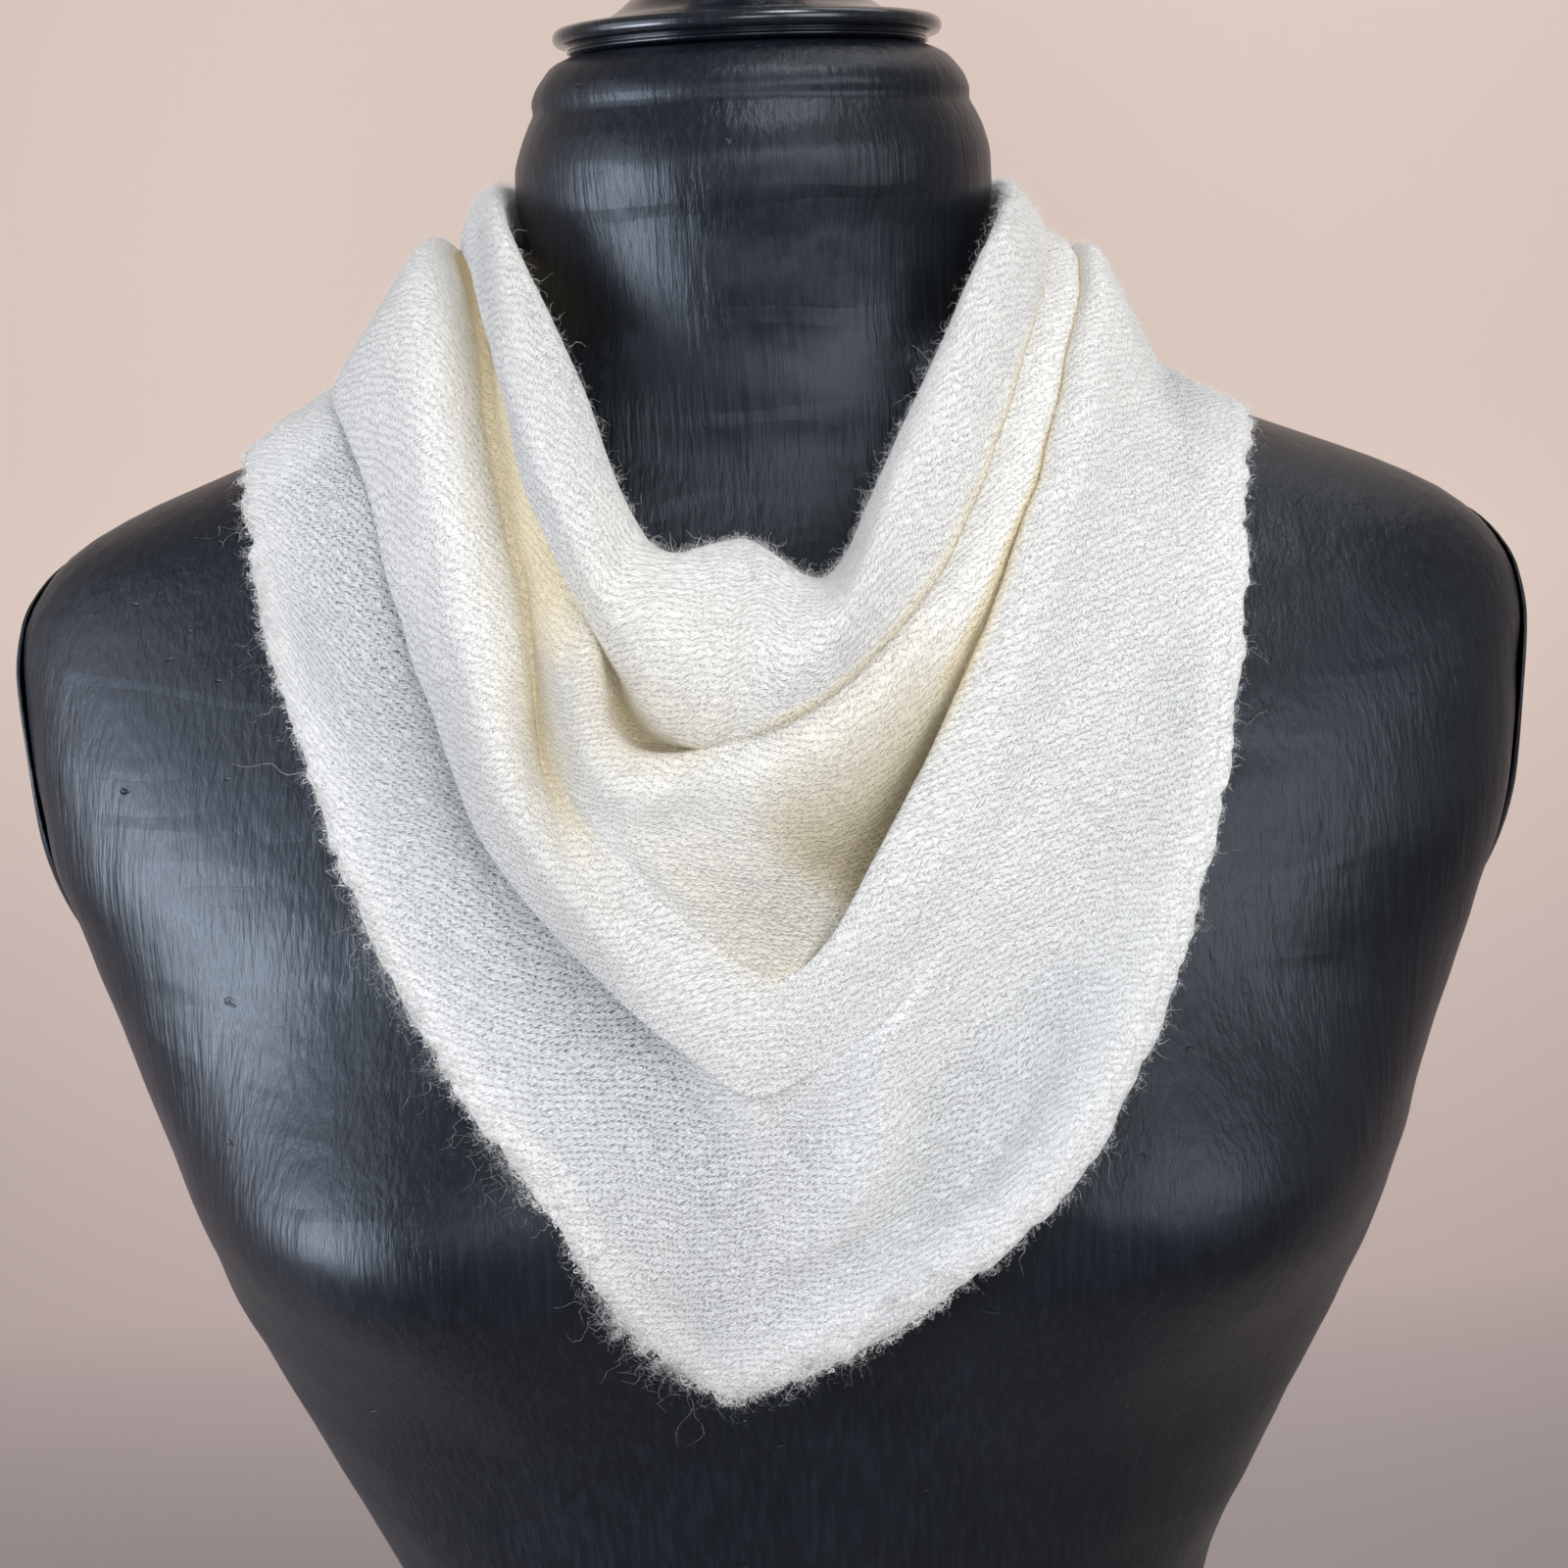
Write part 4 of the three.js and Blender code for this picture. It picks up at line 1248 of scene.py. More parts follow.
    @staticmethod
    def creased(points: np.ndarray, normals: np.ndarray, share: np.ndarray) -> np.ndarray:
        """Points pressed in or out along the creases.

        A crease moves a point along its normal by depth * exp(-(distance / reach)^2), measured in
        the front view, and fades as sin(pi * run) along its path, run going from 0.12 to 0.88.

        Args:
            points: Places, shape (..., 3).
            normals: Unit normals, the same shape.
            share: How far the creases act, 0 to 1, shape (...).

        Returns:
            The moved points.
        """
        flat = points[..., [0, 2]]
        push = np.zeros(points.shape[:-1])
        for crease in CREASES:
            path = np.array(crease.path, float)
            nearest = np.full(push.shape, np.inf)
            run = np.zeros(push.shape)
            for k, (start, end) in enumerate(zip(path[:-1], path[1:])):
                step = end - start
                t = np.clip(((flat - start) @ step) / (step @ step), 0.0, 1.0)
                away = np.linalg.norm(flat - (start + t[..., None] * step), axis=-1)
                run = np.where(away < nearest, (k + t) / (len(path) - 1), run)
                nearest = np.minimum(nearest, away)
            fade = np.sin(math.pi * lerp(0.12, 0.88, run))
            push += crease.depth * fade * np.exp(-((nearest / crease.reach) ** 2))
        return points + normals * (push * share)[..., None]

    @staticmethod
    def unrolled(points: np.ndarray) -> np.ndarray:
        """The sheet laid flat, station by station.

        Each section becomes a straight line.  The next one is turned and set off by the amounts
        that best match the spread and the slip of the sheet between the two, by least squares.

        Args:
            points: The middle of the cloth, shape (stations, places, 3).

        Returns:
            Flat places in millimetres, shape (stations, places, 2), the front centre at 0 across.
        """
        along, down = np.gradient(points, axis=0), np.gradient(points, axis=1)
        tangent = unit(down)
        lengths = np.linalg.norm(np.diff(points, axis=1), axis=-1)
        run = np.concatenate([np.zeros((len(points), 1)), np.cumsum(lengths, axis=1)], axis=1)
        slip = (along * tangent).sum(axis=-1)
        spread = np.linalg.norm(along - slip[..., None] * tangent, axis=-1)
        off = run - run.mean(axis=1, keepdims=True)
        turn = (off * spread).sum(axis=1) / (off**2).sum(axis=1)
        base = spread.mean(axis=1) - turn * run.mean(axis=1)
        slide = (slip - np.gradient(run, axis=0)).mean(axis=1)
        middle = len(points) // 2
        angle = np.cumsum(turn)
        angle = (angle - angle[middle])[:, None]
        ruling = np.concatenate([np.sin(angle), -np.cos(angle)], axis=1)
        across = np.concatenate([np.cos(angle), np.sin(angle)], axis=1)
        edge = np.cumsum(base[:, None] * across + slide[:, None] * ruling, axis=0)
        edge = edge - edge[middle]
        return edge[:, None, :] + run[..., None] * ruling[:, None, :]


@dataclass
class Sheet:
    """The finished cloth as arrays, kept for the nap that stands on it."""

    outer: np.ndarray
    normals: np.ndarray
    layout: Layout


@dataclass
class Scarf:
    """The triangle scarf: the draped sheet, the knot, two ends and the nap."""

    shape: FormShape
    drape: Drape
    easings: int = 4
    waves: Ripples = ((0.5, 34.0, 11), (0.25, 13.0, 12))
    scallop: float = 0.9
    scallops: Ripples = ((0.5, 15.0, 13), (0.8, 5.5, 14))
    knot_across: float = 14.6
    knot_behind: float = 72.0
    knot_up: float = 587.0
    knot_half_tall: float = 21.0
    knot_half_deep: float = 13.0
    knot_turn_mm: float = 17.0
    knot_off: float = 1.2
    end_wall: float = 1.6
    end_top: float = 562.6
    end_apart: float = 7.0
    end_halves: tuple[float, float, float] = (6.0, 13.0, 1.5)  # At the knot, widest, at the tip.
    end_curl: float = 4.0
    end_wave: float = 0.5
    flat_apart: float = 40.0
    turn_reach: float = 0.35
    turn_thinning: float = 0.35
    rim_wall: float = 0.55
    rim_reach: float = 0.12

    def sheet(self) -> tuple[Skin, Sheet]:
        """The draped cloth with its creases, scalloped hem and values for its finish.

        Returns:
            The closed wall, and the arrays that the nap is set on.
        """
        drape = self.drape
        points, layout = drape.surface()
        fold, start = layout.line("third fold foot"), layout.line("panel start")
        panel = layout.grid(smoothstep(fold, start + 0.1, layout.places))
        points = self._shaped(points, layout, panel)
        normals = drape.outward(points)
        thickness = layout.grid(self._thickness(layout))
        skin = walled(points, normals, thickness)
        skin.uv = np.tile(drape.unrolled(points).reshape(-1, 2) * MM + 0.5, (2, 1))

        # Painted bounce colour, painted shade and painted glow for the hollows between the folds.
        painted_bounce, deep, lift = self._hollows(layout)
        lengths = np.linalg.norm(np.diff(points, axis=1), axis=-1)
        to_hem = np.cumsum(np.pad(lengths, ((0, 0), (0, 1)))[:, ::-1], axis=1)[:, ::-1]
        values = {
            "sheer_and_shade": self._see_through_and_shade(points, layout, panel),
            "hem_mm": np.clip(to_hem, 0.0, FAR_FROM_HEM_MM),
            "painted_bounce": painted_bounce,
            "deep": deep,
            "lift": lift,
            "panel": panel,
        }
        skin.values = {key: np.tile(value.ravel(), 2) for key, value in values.items()}
        outer = points + 0.5 * thickness[..., None] * normals
        return skin, Sheet(outer, normals, layout)

    def _shaped(self, points: np.ndarray, layout: Layout, panel: np.ndarray) -> np.ndarray:
        """The drape eased, creased, made uneven, scalloped at the hem and kept off the form.

        Args:
            points: The middle of the cloth, shape (stations, places, 3).
            layout: Its layout.
            panel: 1 on the front panel, shape (stations, places).

        Returns:
            The moved points.
        """
        drape = self.drape
        points = drape.relaxed(points, self.easings)
        points = drape.creased(points, drape.outward(points), panel)
        free = smoothstep(0.0, 2.0, layout.places)
        level = unit(points * np.array([1.0, 1.0, 0.0]))
        points = points + level * (ripples(points, self.waves) * free)[..., None]
        hem = smoothstep(layout.line("panel") + 0.6, layout.line("hem"), layout.places)
        down = unit(np.gradient(points, axis=1))
        scallops = self.scallop * ripples(points, self.scallops) * hem
        points = points + down * scallops[..., None]
        return self.shape.clear(points, drape.clearance + drape.wall / 2.0)

    def _thickness(self, layout: Layout) -> np.ndarray:
        """The wall at each place, thinner in the tight turns and at the hem's rim.

        Args:
            layout: The cloth's layout.

        Returns:
            The wall, shape (places,).
        """
        turns = (
            "roll lower edge", "tuck", "third fold edge", "valley", "third fold foot", "fold under",
        )
        off = [(layout.places - layout.line(name)) / self.turn_reach for name in turns]
        tight = sum(np.exp(-(lines**2)) for lines in off)
        from_rim = np.minimum(layout.places[-1] - layout.places, 1.0)
        rim = lerp(self.rim_wall, 1.0, smoothstep(0.0, self.rim_reach, from_rim))
        return self.drape.wall * rim * (1.0 - self.turn_thinning * np.minimum(tight, 1.0))

    def _see_through_and_shade(self, points: np.ndarray, layout: Layout, panel: np.ndarray) -> np.ndarray:
        """How far the dark shows through the stitches, with painted shade added.

        It is most where the panel lies on the form, left of the middle, away from its hem and just
        below the fold above it, where it also paints that fold's shadow; some is painted shade in
        the third fold's pocket.

        Args:
            points: The middle of the cloth, shape (stations, places, 3).
            layout: Its layout.
            panel: 1 on the front panel, shape (stations, places).

        Returns:
            Shares from 0 to 1, shape (stations, places).
        """
        line, places = layout.line, layout.places
        on_form = smoothstep(9.0, 3.5, self.shape.gap(points)) * panel
        bare = 1.0 - smoothstep(line("hem") - 0.5, line("hem") - 0.1, places)
        left = lerp(0.7, 1.0, smoothstep(20.0, -60.0, points[..., 0]))
        # Painted shadow of the third fold: most just below its foot.
        fold_shadow = lerp(0.35, 1.0, smoothstep(line("panel") + 0.35, line("panel start"), places))
        pocket = np.exp(-(((places - line("valley near side") + 0.3) / 0.45) ** 2))
        sheer_and_shade = on_form * bare * left * fold_shadow
        # Painted shade in the third fold's pocket.
        sheer_and_shade = sheer_and_shade + 0.6 * pocket * smoothstep(-45.0, 10.0, layout.stations)[:, None]
        return np.clip(sheer_and_shade, 0.0, 1.0)

    @staticmethod
    def _plain(count: int) -> dict[str, np.ndarray]:
        """Values for the finish of a piece that is neither sheer, near the hem nor in a hollow."""
        values = {name: np.zeros(count) for name in CLOTH_VALUES}
        return values | {"hem_mm": np.full(count, FAR_FROM_HEM_MM)}

    @staticmethod
    def _hollows(layout: Layout) -> tuple[np.ndarray, ...]:
        """How light goes into the hollows between the folds, painted as bounce colour, shade and
        glow.

        Each hollow is a band round a line, exp(-(d / w)^2) for d lines off it, between stations.

        Args:
            layout: The cloth's layout.

        Returns:
            Three shares of shape (stations, places): how much painted bounce light colours the
                cloth,
            how much painted shade also darkens it, and how much painted glow stands for light
            through it.
        """
        line = layout.line
        rows, columns = layout.stations[:, None], layout.places[None, :]

        def window(value: np.ndarray, *ends: float) -> np.ndarray:
            """0 up to the first end, 1 from the second to the third, 0 from the fourth."""
            return smoothstep(ends[0], ends[1], value) * smoothstep(ends[3], ends[2], value)

        def near(name: str, above: float, below: np.ndarray | float) -> np.ndarray:
            """1 at a line, fading over a number of lines above and below it."""
            off = columns - line(name)
            return np.exp(-((off / np.where(off < 0.0, above, below)) ** 2))

        roll, edge = line("roll lower edge"), line("second fold upper edge")
        third = line("third fold edge")
        tuck, pocket, valley = line("tuck"), line("pocket"), line("valley")
        below_point = lerp(1.6, 0.5, smoothstep(-30.0, 0.0, rows))
        bands = (
            # stations of the band, its lines, how much painted bounce colour, how much painted
            # shade
            ((-300, -250, -160, -85), window(columns, roll - 0.3, tuck, valley, third + 0.6),
             1.0, 0.12),
            ((-160, -125, -85, -40), near("valley", 2.6, 1.9), 0.9, 0.05),
            ((-150, -125, -30, 15), near("tuck", 2.0, 2.2), 1.0, 0.75),
            ((-20, 30, 300, 400), window(columns, roll - 0.2, roll, edge, edge + 0.35), 0.7, 0.4),
            ((60, 90, 300, 400), window(columns, pocket - 0.4, pocket, third + 0.05, third + 0.3),
             0.9, 0.35),
            ((0, 30, 70, 110), near("valley near side", 2.0, 0.9), 1.0, 0.85),
            ((-45, -20, 15, 50), near("valley", 2.4, below_point), 0.45, 0.55),
        )
        shapes = [window(rows, *ends) * across for ends, across, _, _ in bands]
        painted_bounce = np.maximum.reduce([band[2] * shape for band, shape in zip(bands, shapes)])
        deep = np.maximum.reduce([band[3] * shape for band, shape in zip(bands, shapes)])
        upper = smoothstep(edge + 0.3, line("second fold crest"), columns)
        lower = smoothstep(valley, pocket, columns)
        # Painted glow for light through the cloth: under the second fold's crest and on the third
        # fold's left flank.
        lift = window(rows, -80, -40, 170, 230) * (upper * lower)
        flank = 0.6 * window(rows, -250, -215, -130, -100)
        flank = flank * window(columns, valley + 0.5, third, third + 0.6, third + 1.2)
        lift = np.maximum(lift, flank) * (1.0 - painted_bounce)
        return painted_bounce, deep, lift

    def knot(self) -> Skin:
        """The knot: a barrel across the nape with three slanting folds wrapped round it.

        Its radius is 0.95 + 0.14 (1 - a^2) + 0.06 cos(3 turn + 4 a) of the plain oval, a along it,
        drawn in at its two ends.

        Returns:
            The closed skin.
        """
        along = np.linspace(-1.0, 1.0, 41)[:, None]
        turn = np.arange(96)[None, :] * 2.0 * math.pi / 96
        swell = 0.95 + 0.14 * (1.0 - along**2) + 0.06 * np.cos(3.0 * turn + 4.0 * along)
        swell = swell * lerp(0.8, 1.0, smoothstep(1.0, 0.72, np.abs(along)))
        points = np.stack(
            [
                self.knot_across * along * np.ones_like(turn),
                self.knot_behind + self.knot_half_deep * swell * np.cos(turn),
                self.knot_up + self.knot_half_tall * swell * np.sin(turn),
            ],
            axis=-1,
        )
        return closed_loft(self.shape.clear(points, self.knot_off))

    def tie_end(self, side: int, length: float, lean: float) -> Skin:
        """A free end: a folded strip that hangs from the knot and tapers to a corner.

        Args:
            side: -1 for the left end and 1 for the right one.
            length: From the knot to the tip.
            lean: How far it drifts sideways for each millimetre of its length.

        Returns:
            The closed wall.
        """
        t = np.linspace(0.0, 1.0, 61)[:, None]
        share = np.linspace(-1.0, 1.0, 21)[None, :]
        at_knot, widest, at_tip = self.end_halves
        half = lerp(at_knot, widest, np.minimum(t / 0.35, 1.0))
        half = lerp(half, at_tip, np.maximum((t - 0.55) / 0.45, 0.0))
        z = (self.end_top - length * t) * np.ones_like(share)
        x = side * (self.end_apart + lean * length * t) + side * share * half
        azimuth = 180.0 - np.degrees(np.arctan2(x, self.shape.radius(np.full_like(z, 180.0), z)))
        curl = self.end_curl * (1.0 - np.abs(share) ** 1.5) * (1.0 - t)
        curl = curl + self.end_wave * np.sin(9.0 * t + 2.0 * share)
        wall = self.end_wall
        points = self.shape.clear(self.shape.point(azimuth, z, wall + curl), wall)
        if side > 0:
            points = points[:, ::-1]
        skin = walled(points, Drape.outward(points), np.full(points.shape[:2], wall))
        across, down = share * half + side * self.flat_apart, -length * t * np.ones_like(share)
        flat = np.stack([across, down], axis=-1)
        skin.uv = np.tile(flat.reshape(-1, 2) * MM + 0.5, (2, 1))
        skin.values = self._plain(len(skin.points))
        return skin

    def build(self) -> tuple[list[bpy.types.Object], Sheet]:
        """Makes and dresses the sheet, the knot and the two ends.

        Returns:
            The pieces, the sheet first, and the arrays that the nap is set on.
        """
        knit = BrushedKnit().material()
        skin, sheet = self.sheet()
        knot = self.knot()
        across, behind, up = knot.points.T
        around = np.arctan2(up - self.knot_up, behind - self.knot_behind) * self.knot_turn_mm
        knot.uv = np.stack([across, around], axis=-1) * MM
        knot.values = self._plain(len(knot.points))
        plan = (
            ("draped_scarf", skin, ("cowl_roll", "second_fold", "third_fold", "front_panel")),
            ("knot_wrap", knot, ("nape_knot",)),
            ("end_left", self.tie_end(-1, length=84.0, lean=0.42), ("tie_end_left",)),
            ("end_right", self.tie_end(1, length=72.0, lean=0.5), ("tie_end_right",)),
        )
        pieces = []
        for name, made, nodes in plan:
            piece = made.piece(name)
            piece.data.materials.append(knit)
            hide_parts(*nodes)
            pieces.append(piece)
        return pieces, sheet


# ---- Nap and stray fibres ----


@dataclass(frozen=True)
class Tuft:
    """A kind of fibre that stands on part of the cloth.

    lines and stations bound the part; length is the middle length and spread how uneven it is;
    lift is the angle off the cloth in degrees; curl is how much it bends, loop the radius of its
    coils and turns how many it has; outward leans it over the hem; clumps are stations where most
    of them stand, each with a width.
    """

    name: str
    lines: tuple[float, float]
    stations: tuple[float, float]
    count: int
    length: float
    spread: float
    lift: float
    rings: int
    radius: float
    curl: float = 0.3
    loop: float = 0.12
    turns: float = 1.0
    outward: float = 0.0
    clumps: tuple[tuple[float, float], ...] = ()
    seed: int = 1


@dataclass
class Nap:
    """Sets seeded fibres on the sheet as joined closed threads."""

    sheet: Sheet
    shape: FormShape
    reach: float = 6.5
    lift_spread: float = 14.0
    lift_ends: tuple[float, float] = (4.0, 88.0)
    longest: float = 2.6
    rooted: float = 0.3
    off_form: float = 0.2
    background: float = 0.12

    def _roots(self, tuft: Tuft, rng: np.random.Generator) -> tuple[np.ndarray, ...]:
        """Random places on the cloth, even by area or gathered at the clumps.

        Args:
            tuft: The kind of fibre.
            rng: The random numbers.

        Returns:
            Roots, unit directions along, down and off the cloth, each of shape (count, 3).
        """
        points, normals = self.sheet.outer, self.sheet.normals
        along, down = np.gradient(points, axis=0), np.gradient(points, axis=1)
        area = np.linalg.norm(np.cross(along, down), axis=-1)
        places, stations = self.sheet.layout.places, self.sheet.layout.stations
        inside = (places >= tuft.lines[0]) & (places <= tuft.lines[1])
        reach = (stations >= tuft.stations[0]) & (stations <= tuft.stations[1])
        thick = np.ones_like(stations)
        if tuft.clumps:
            clumps = [np.exp(-(((stations - at) / wide) ** 2)) for at, wide in tuft.clumps]
            thick = self.background + sum(clumps)
        weight = area * inside[None, :] * (reach * thick)[:, None]
        weight[-1] = 0.0
        picked = rng.choice(weight.size, tuft.count, p=weight.ravel() / weight.sum())
        j, i = np.unravel_index(picked, weight.shape)
        jitter = rng.uniform(-0.5, 0.5, (tuft.count, 2))
        root = points[j, i] + jitter[:, :1] * along[j, i] + jitter[:, 1:] * down[j, i]
        return root, unit(along[j, i]), unit(down[j, i]), normals[j, i]

    def threads(self, tuft: Tuft) -> Skin:
        """The fibres of one kind.

        A fibre's middle is root + L (d t + c t^2) + r (s cos a + n sin a) with a = 2 pi w t: a
        first direction d, a random bend c and coils of radius r.  Its height h off the cloth is
        held under the reach R as R tanh(h / R).  Its section is a triangle that narrows to the tip.

        Args:
            tuft: The kind of fibre.

        Returns:
            All of them as one skin.
        """
        rng = np.random.default_rng(tuft.seed)
        root, along, down, off = self._roots(tuft, rng)
        count = tuft.count
        swing = rng.uniform(0.0, 2.0 * math.pi, (count, 1))
        lift = np.clip(rng.normal(tuft.lift, self.lift_spread, (count, 1)), *self.lift_ends)
        lift = np.radians(lift)
        lying = unit(along * np.cos(swing) + down * np.sin(swing) + tuft.outward * down)
        first = unit(lying * np.cos(lift) + off * np.sin(lift))
        bend = rng.normal(size=(count, 3)) * tuft.curl
        length = rng.lognormal(math.log(tuft.length), tuft.spread, (count, 1))
        length = np.minimum(length, tuft.length * self.longest)

        t = np.linspace(0.0, 1.0, tuft.rings)[None, :, None]
        side = unit(np.cross(first, off))
        third = np.cross(side, first)
        phase = rng.uniform(0.0, 2.0 * math.pi, (count, 1, 1))
        coil = phase + 2.0 * math.pi * tuft.turns * rng.uniform(0.5, 1.5, (count, 1, 1)) * t
        loop = tuft.loop * rng.uniform(0.4, 1.4, (count, 1, 1))
        middle = root[:, None] - off[:, None] * self.rooted
        middle = middle + length[:, None] * (first[:, None] * t + bend[:, None] * t**2)
        middle = middle + loop * side[:, None] * (np.cos(coil) - np.cos(phase))
        middle = middle + loop * third[:, None] * (np.sin(coil) - np.sin(phase))
        height = ((middle - root[:, None]) * off[:, None]).sum(axis=-1, keepdims=True)
        held = np.where(height > 0.0, self.reach * np.tanh(height / self.reach), height * 0.3)
        middle = middle + off[:, None] * (held - height)
        if tuft.outward > 0.0:
            middle = self.shape.clear(middle, self.off_form, passes=2)

        radius = tuft.radius * rng.uniform(0.7, 1.3, (count, 1, 1)) * (1.0 - 0.7 * t)
        angles = 2.0 * math.pi * np.arange(3) / 3.0
        corners = [
            middle + radius * (side * math.cos(angle) + third * math.sin(angle))[:, None]
            for angle in angles
        ]
        points = np.stack(corners, axis=2).reshape(-1, 3)

        per = tuft.rings * 3
        wall = grid_quads(tuft.rings, 3, wrap=True)
        starts = (np.arange(count) * per)[:, None, None]
        quads = (wall[None] + starts).reshape(-1, 4)
        caps = np.array([[0, 2, 1], [per - 3, per - 2, per - 1]])
        triangles = (caps[None] + starts).reshape(-1, 3)
        return Skin(points, quads, triangles)

    def build(self) -> list[bpy.types.Object]:
        """Makes every kind of fibre.

        Returns:
            The pieces.
        """
        fibre = LooseFibre().material()
        line = self.sheet.layout.line
        hem, foot, neck = line("hem"), line("third fold foot"), line("neckline")
        low, upper = line("roll lower edge"), line("second fold upper edge")
        front = (-300.0, 290.0)
        gathered = ((-119, 4), (-104, 5), (-90, 3), (-74, 4), (-50, 5), (-34, 4))
        tufts = (
            Tuft("nap_on_roll", (neck - 0.5, low), front, 3300, 1.7, 0.35, 24, 3, 0.045, seed=21),
            Tuft("nap_on_folds", (upper, foot), front, 4700, 1.7, 0.35, 24, 3, 0.045, seed=22),
            Tuft("nap_on_panel", (foot, hem), front, 7000, 1.9, 0.4, 24, 3, 0.045, seed=23),
            Tuft("neckline_fluff", (neck - 0.6, neck + 0.25), front, 3400, 1.6, 0.4, 48, 8, 0.034,
                 curl=0.5, loop=0.7, turns=1.5, seed=24),
            Tuft("hem_knobs", (hem - 0.12, hem), (-300.0, 25.0), 1800, 0.8, 0.3, 22, 6, 0.17,
                 curl=0.3, loop=0.7, turns=0.9, outward=0.3, seed=29),
            Tuft("hem_curls_left", (hem - 0.2, hem), (-300.0, 20.0), 2800, 0.9, 0.35, 28, 7, 0.048,
                 curl=0.4, loop=0.6, turns=1.5, outward=0.4, seed=25),
            Tuft("hem_curls_right", (hem - 0.12, hem), (20.0, 290.0), 1600, 0.6, 0.3, 24, 6, 0.05,
                 curl=0.3, loop=0.5, turns=1.3, outward=0.3, seed=31),
            Tuft("hem_fluff", (hem - 0.06, hem), front, 1500, 1.4, 0.5, 18, 8, 0.03,
                 curl=0.8, loop=0.9, turns=1.9, outward=0.5, seed=26),
            Tuft("stray_clumps", (hem - 0.06, hem), (-215.0, 10.0), 700, 3.2, 0.4, 14, 13, 0.034,
                 curl=0.8, loop=1.5, turns=2.8, outward=0.9, clumps=gathered, seed=27),
            Tuft("crest_fluff", (line("roll crest") - 0.5, foot), front, 1600, 1.2, 0.5, 55, 4,
                 0.032, curl=0.5, seed=28),
        )
        made = []
        for tuft in tufts:
            piece = self.threads(tuft).piece(tuft.name)
            piece.data.materials.append(fibre)
            made.append(piece)
        return made


# ---- Stage ----


@dataclass(frozen=True)
class Lamp:
    """A soft square light: its place and aim in metres, its side, power, colour and beam angle.

    only is "form" or "cloth" where it lights no more than that.
    """

    name: str
    place: tuple[float, float, float]
    aim: tuple[float, float, float]
    size: float
    watts: float
    colour: Colour
    spread: float
    only: str = ""


CHEST = (0.0, -0.05, 0.46)

LAMPS = (
    Lamp("left_window", (-1.15, -0.45, 0.7), CHEST, 1.2, 5.6, (0.86, 0.90, 1.0), 120.0),
    Lamp("right_front", (0.9, -1.1, 0.8), CHEST, 0.8, 2.1, (0.98, 0.99, 1.0), 80.0),
    Lamp("top_right", (0.35, -0.6, 1.5), (0.0, 0.0, 0.55), 0.35, 0.7, (1.0, 0.97, 0.95), 60.0),
    Lamp("low_front", (0.0, -1.5, 0.35), CHEST, 0.8, 1.4, WHITE, 64.0, "cloth"),
    Lamp("neck_front", (0.1, -1.3, 0.75), (0.0, -0.05, 0.6), 0.5, 0.22, (0.92, 0.96, 1.0), 34.0,
         "form"),
    Lamp("flank_left", (-1.0, -0.45, 0.3), (-0.18, 0.0, 0.38), 0.6, 2.2, (0.84, 0.91, 1.0), 60.0,
         "form"),
    Lamp("backdrop_wash", (0.7, 0.3, 1.7), (0.35, 0.9, 0.8), 0.8, 4.0, (1.0, 0.98, 0.96), 150.0),
)


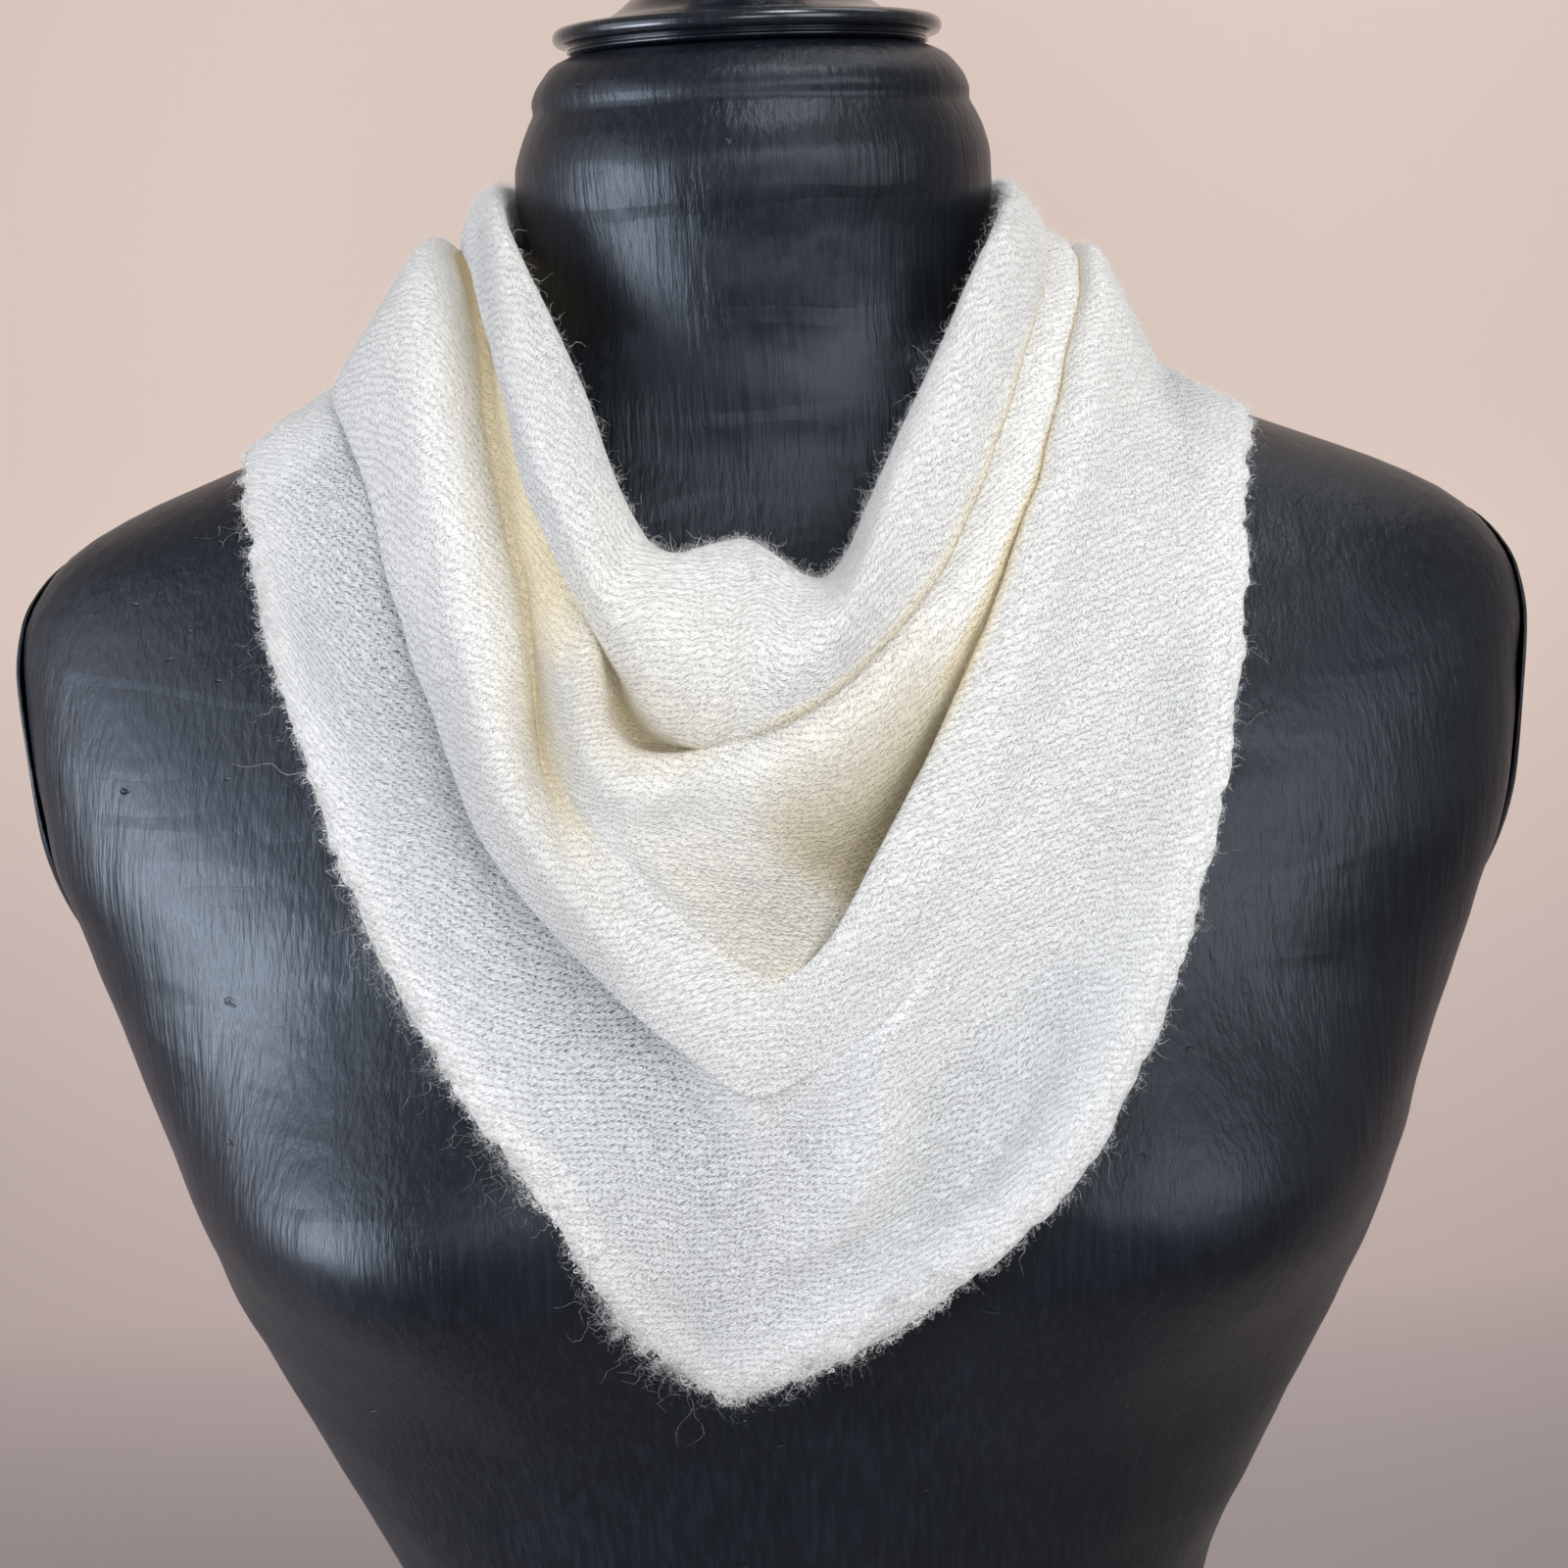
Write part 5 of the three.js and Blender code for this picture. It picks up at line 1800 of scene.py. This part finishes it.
@dataclass
class Studio:
    """The paper sweep, the soft lights and the camera.

    eye is in millimetres; pitch is degrees downwards and roll degrees clockwise.
    """

    eye: tuple[float, float, float] = (1.7, -650.0, 600.0)
    pitch: float = 12.09
    roll: float = 2.3
    lens: float = 58.5
    floor_front: float = 650.0
    side_reach: float = 2400.0
    wall_distance: float = 900.0
    sweep_radius: float = 500.0
    under_foot: float = 0.3
    room: Colour = (0.98, 0.99, 1.0)
    room_strength: float = 0.32

    def sweep(self) -> bpy.types.Object:
        """A floor that curves up into a wall behind the form: a line, a quarter turn, a line.

        Returns:
            The stage.
        """
        turn = np.linspace(0.0, math.pi / 2.0, 25)
        bend_y = self.wall_distance - self.sweep_radius + self.sweep_radius * np.sin(turn)
        bend_z = self.sweep_radius * (1.0 - np.cos(turn))
        y = np.concatenate([[-self.floor_front], bend_y, [self.wall_distance]])
        z = np.concatenate([[0.0], bend_z, [self.side_reach]])
        x = np.array([self.side_reach, -self.side_reach])
        level = z[:, None] - self.under_foot
        points = np.stack(np.broadcast_arrays(x, y[:, None], level), axis=-1)
        skin = Skin(points.reshape(-1, 3), grid_quads(len(y), 2)[:, ::-1])
        stage = skin.piece("paper_sweep")
        stage.data.materials.append(Backdrop().material())
        return stage

    @staticmethod
    def light(lamp: Lamp, only: tuple[bpy.types.Object, ...]) -> None:
        """Hangs a lamp.

        Args:
            lamp: The lamp.
            only: The pieces that it lights, or none for all of them.
        """
        data = bpy.data.lights.new(lamp.name, "AREA")
        data.spread = math.radians(lamp.spread)
        data.size = lamp.size
        data.energy = lamp.watts
        data.color = lamp.colour
        hung = bpy.data.objects.new(lamp.name, data)
        hung.location = lamp.place
        toward = Vector(lamp.aim) - Vector(lamp.place)
        hung.rotation_euler = toward.to_track_quat("-Z", "Y").to_euler()
        bpy.context.scene.collection.objects.link(hung)
        if only:
            lit = bpy.data.collections.new(f"{lamp.name}_lit")
            for piece in only:
                lit.objects.link(piece)
            hung.light_linking.receiver_collection = lit

    def camera(self) -> None:
        """The camera, slightly above the scarf, looking down and rolled a little."""
        down, lean = math.radians(self.pitch), math.radians(self.roll)
        forward = Vector((0.0, math.cos(down), -math.sin(down)))
        right = Vector((1.0, 0.0, 0.0))
        up = right.cross(forward)
        level_up = up * math.cos(lean) + right * math.sin(lean)
        level_right = right * math.cos(lean) - up * math.sin(lean)
        data = bpy.data.cameras.new("camera")
        data.lens = self.lens
        data.sensor_width = 36.0
        data.clip_start = 0.01
        data.clip_end = 20.0
        made = bpy.data.objects.new("camera", data)
        axes = Matrix((level_right, level_up, -forward)).transposed().to_4x4()
        made.matrix_world = Matrix.Translation(Vector(self.eye) * MM) @ axes
        bpy.context.scene.collection.objects.link(made)
        bpy.context.scene.camera = made

    def lights(
        self, form: tuple[bpy.types.Object, ...], cloth: tuple[bpy.types.Object, ...]
    ) -> None:
        """Hangs the lamps; some are kept off the form and some off the cloth and the stage.

        Args:
            form: The painted pieces.
            cloth: The knitted pieces and the stage.
        """
        for lamp in LAMPS:
            self.light(lamp, {"form": form, "cloth": cloth}.get(lamp.only, ()))

    def build(self) -> bpy.types.Object:
        """Sets the stage, the camera, the soft light of the room and the tone of the picture.

        Returns:
            The stage.
        """
        stage = self.sweep()
        world = bpy.data.worlds.new("soft_room")
        world.use_nodes = True
        background = world.node_tree.nodes["Background"]
        background.inputs["Color"].default_value = (*self.room, 1.0)
        background.inputs["Strength"].default_value = self.room_strength
        scene = bpy.context.scene
        scene.world = world
        scene.view_settings.view_transform = "Standard"
        self.camera()
        return stage


# ---- Scene ----


def main() -> None:
    logging.basicConfig(level=logging.INFO, format="%(name)s: %(message)s")
    studio = Studio()
    stage = studio.build()
    form = DressForm()
    pieces = form.build()
    scarf = Scarf(form.shape, Drape(form.shape))
    cloth, sheet = scarf.build()
    nap = Nap(sheet, form.shape).build()
    studio.lights(tuple(pieces), (stage, *cloth, *nap))
    for piece in [*pieces, *cloth, *nap]:
        LOG.info("%s: %d faces", piece.name, len(piece.data.polygons))


if __name__ == "__main__":
    main()
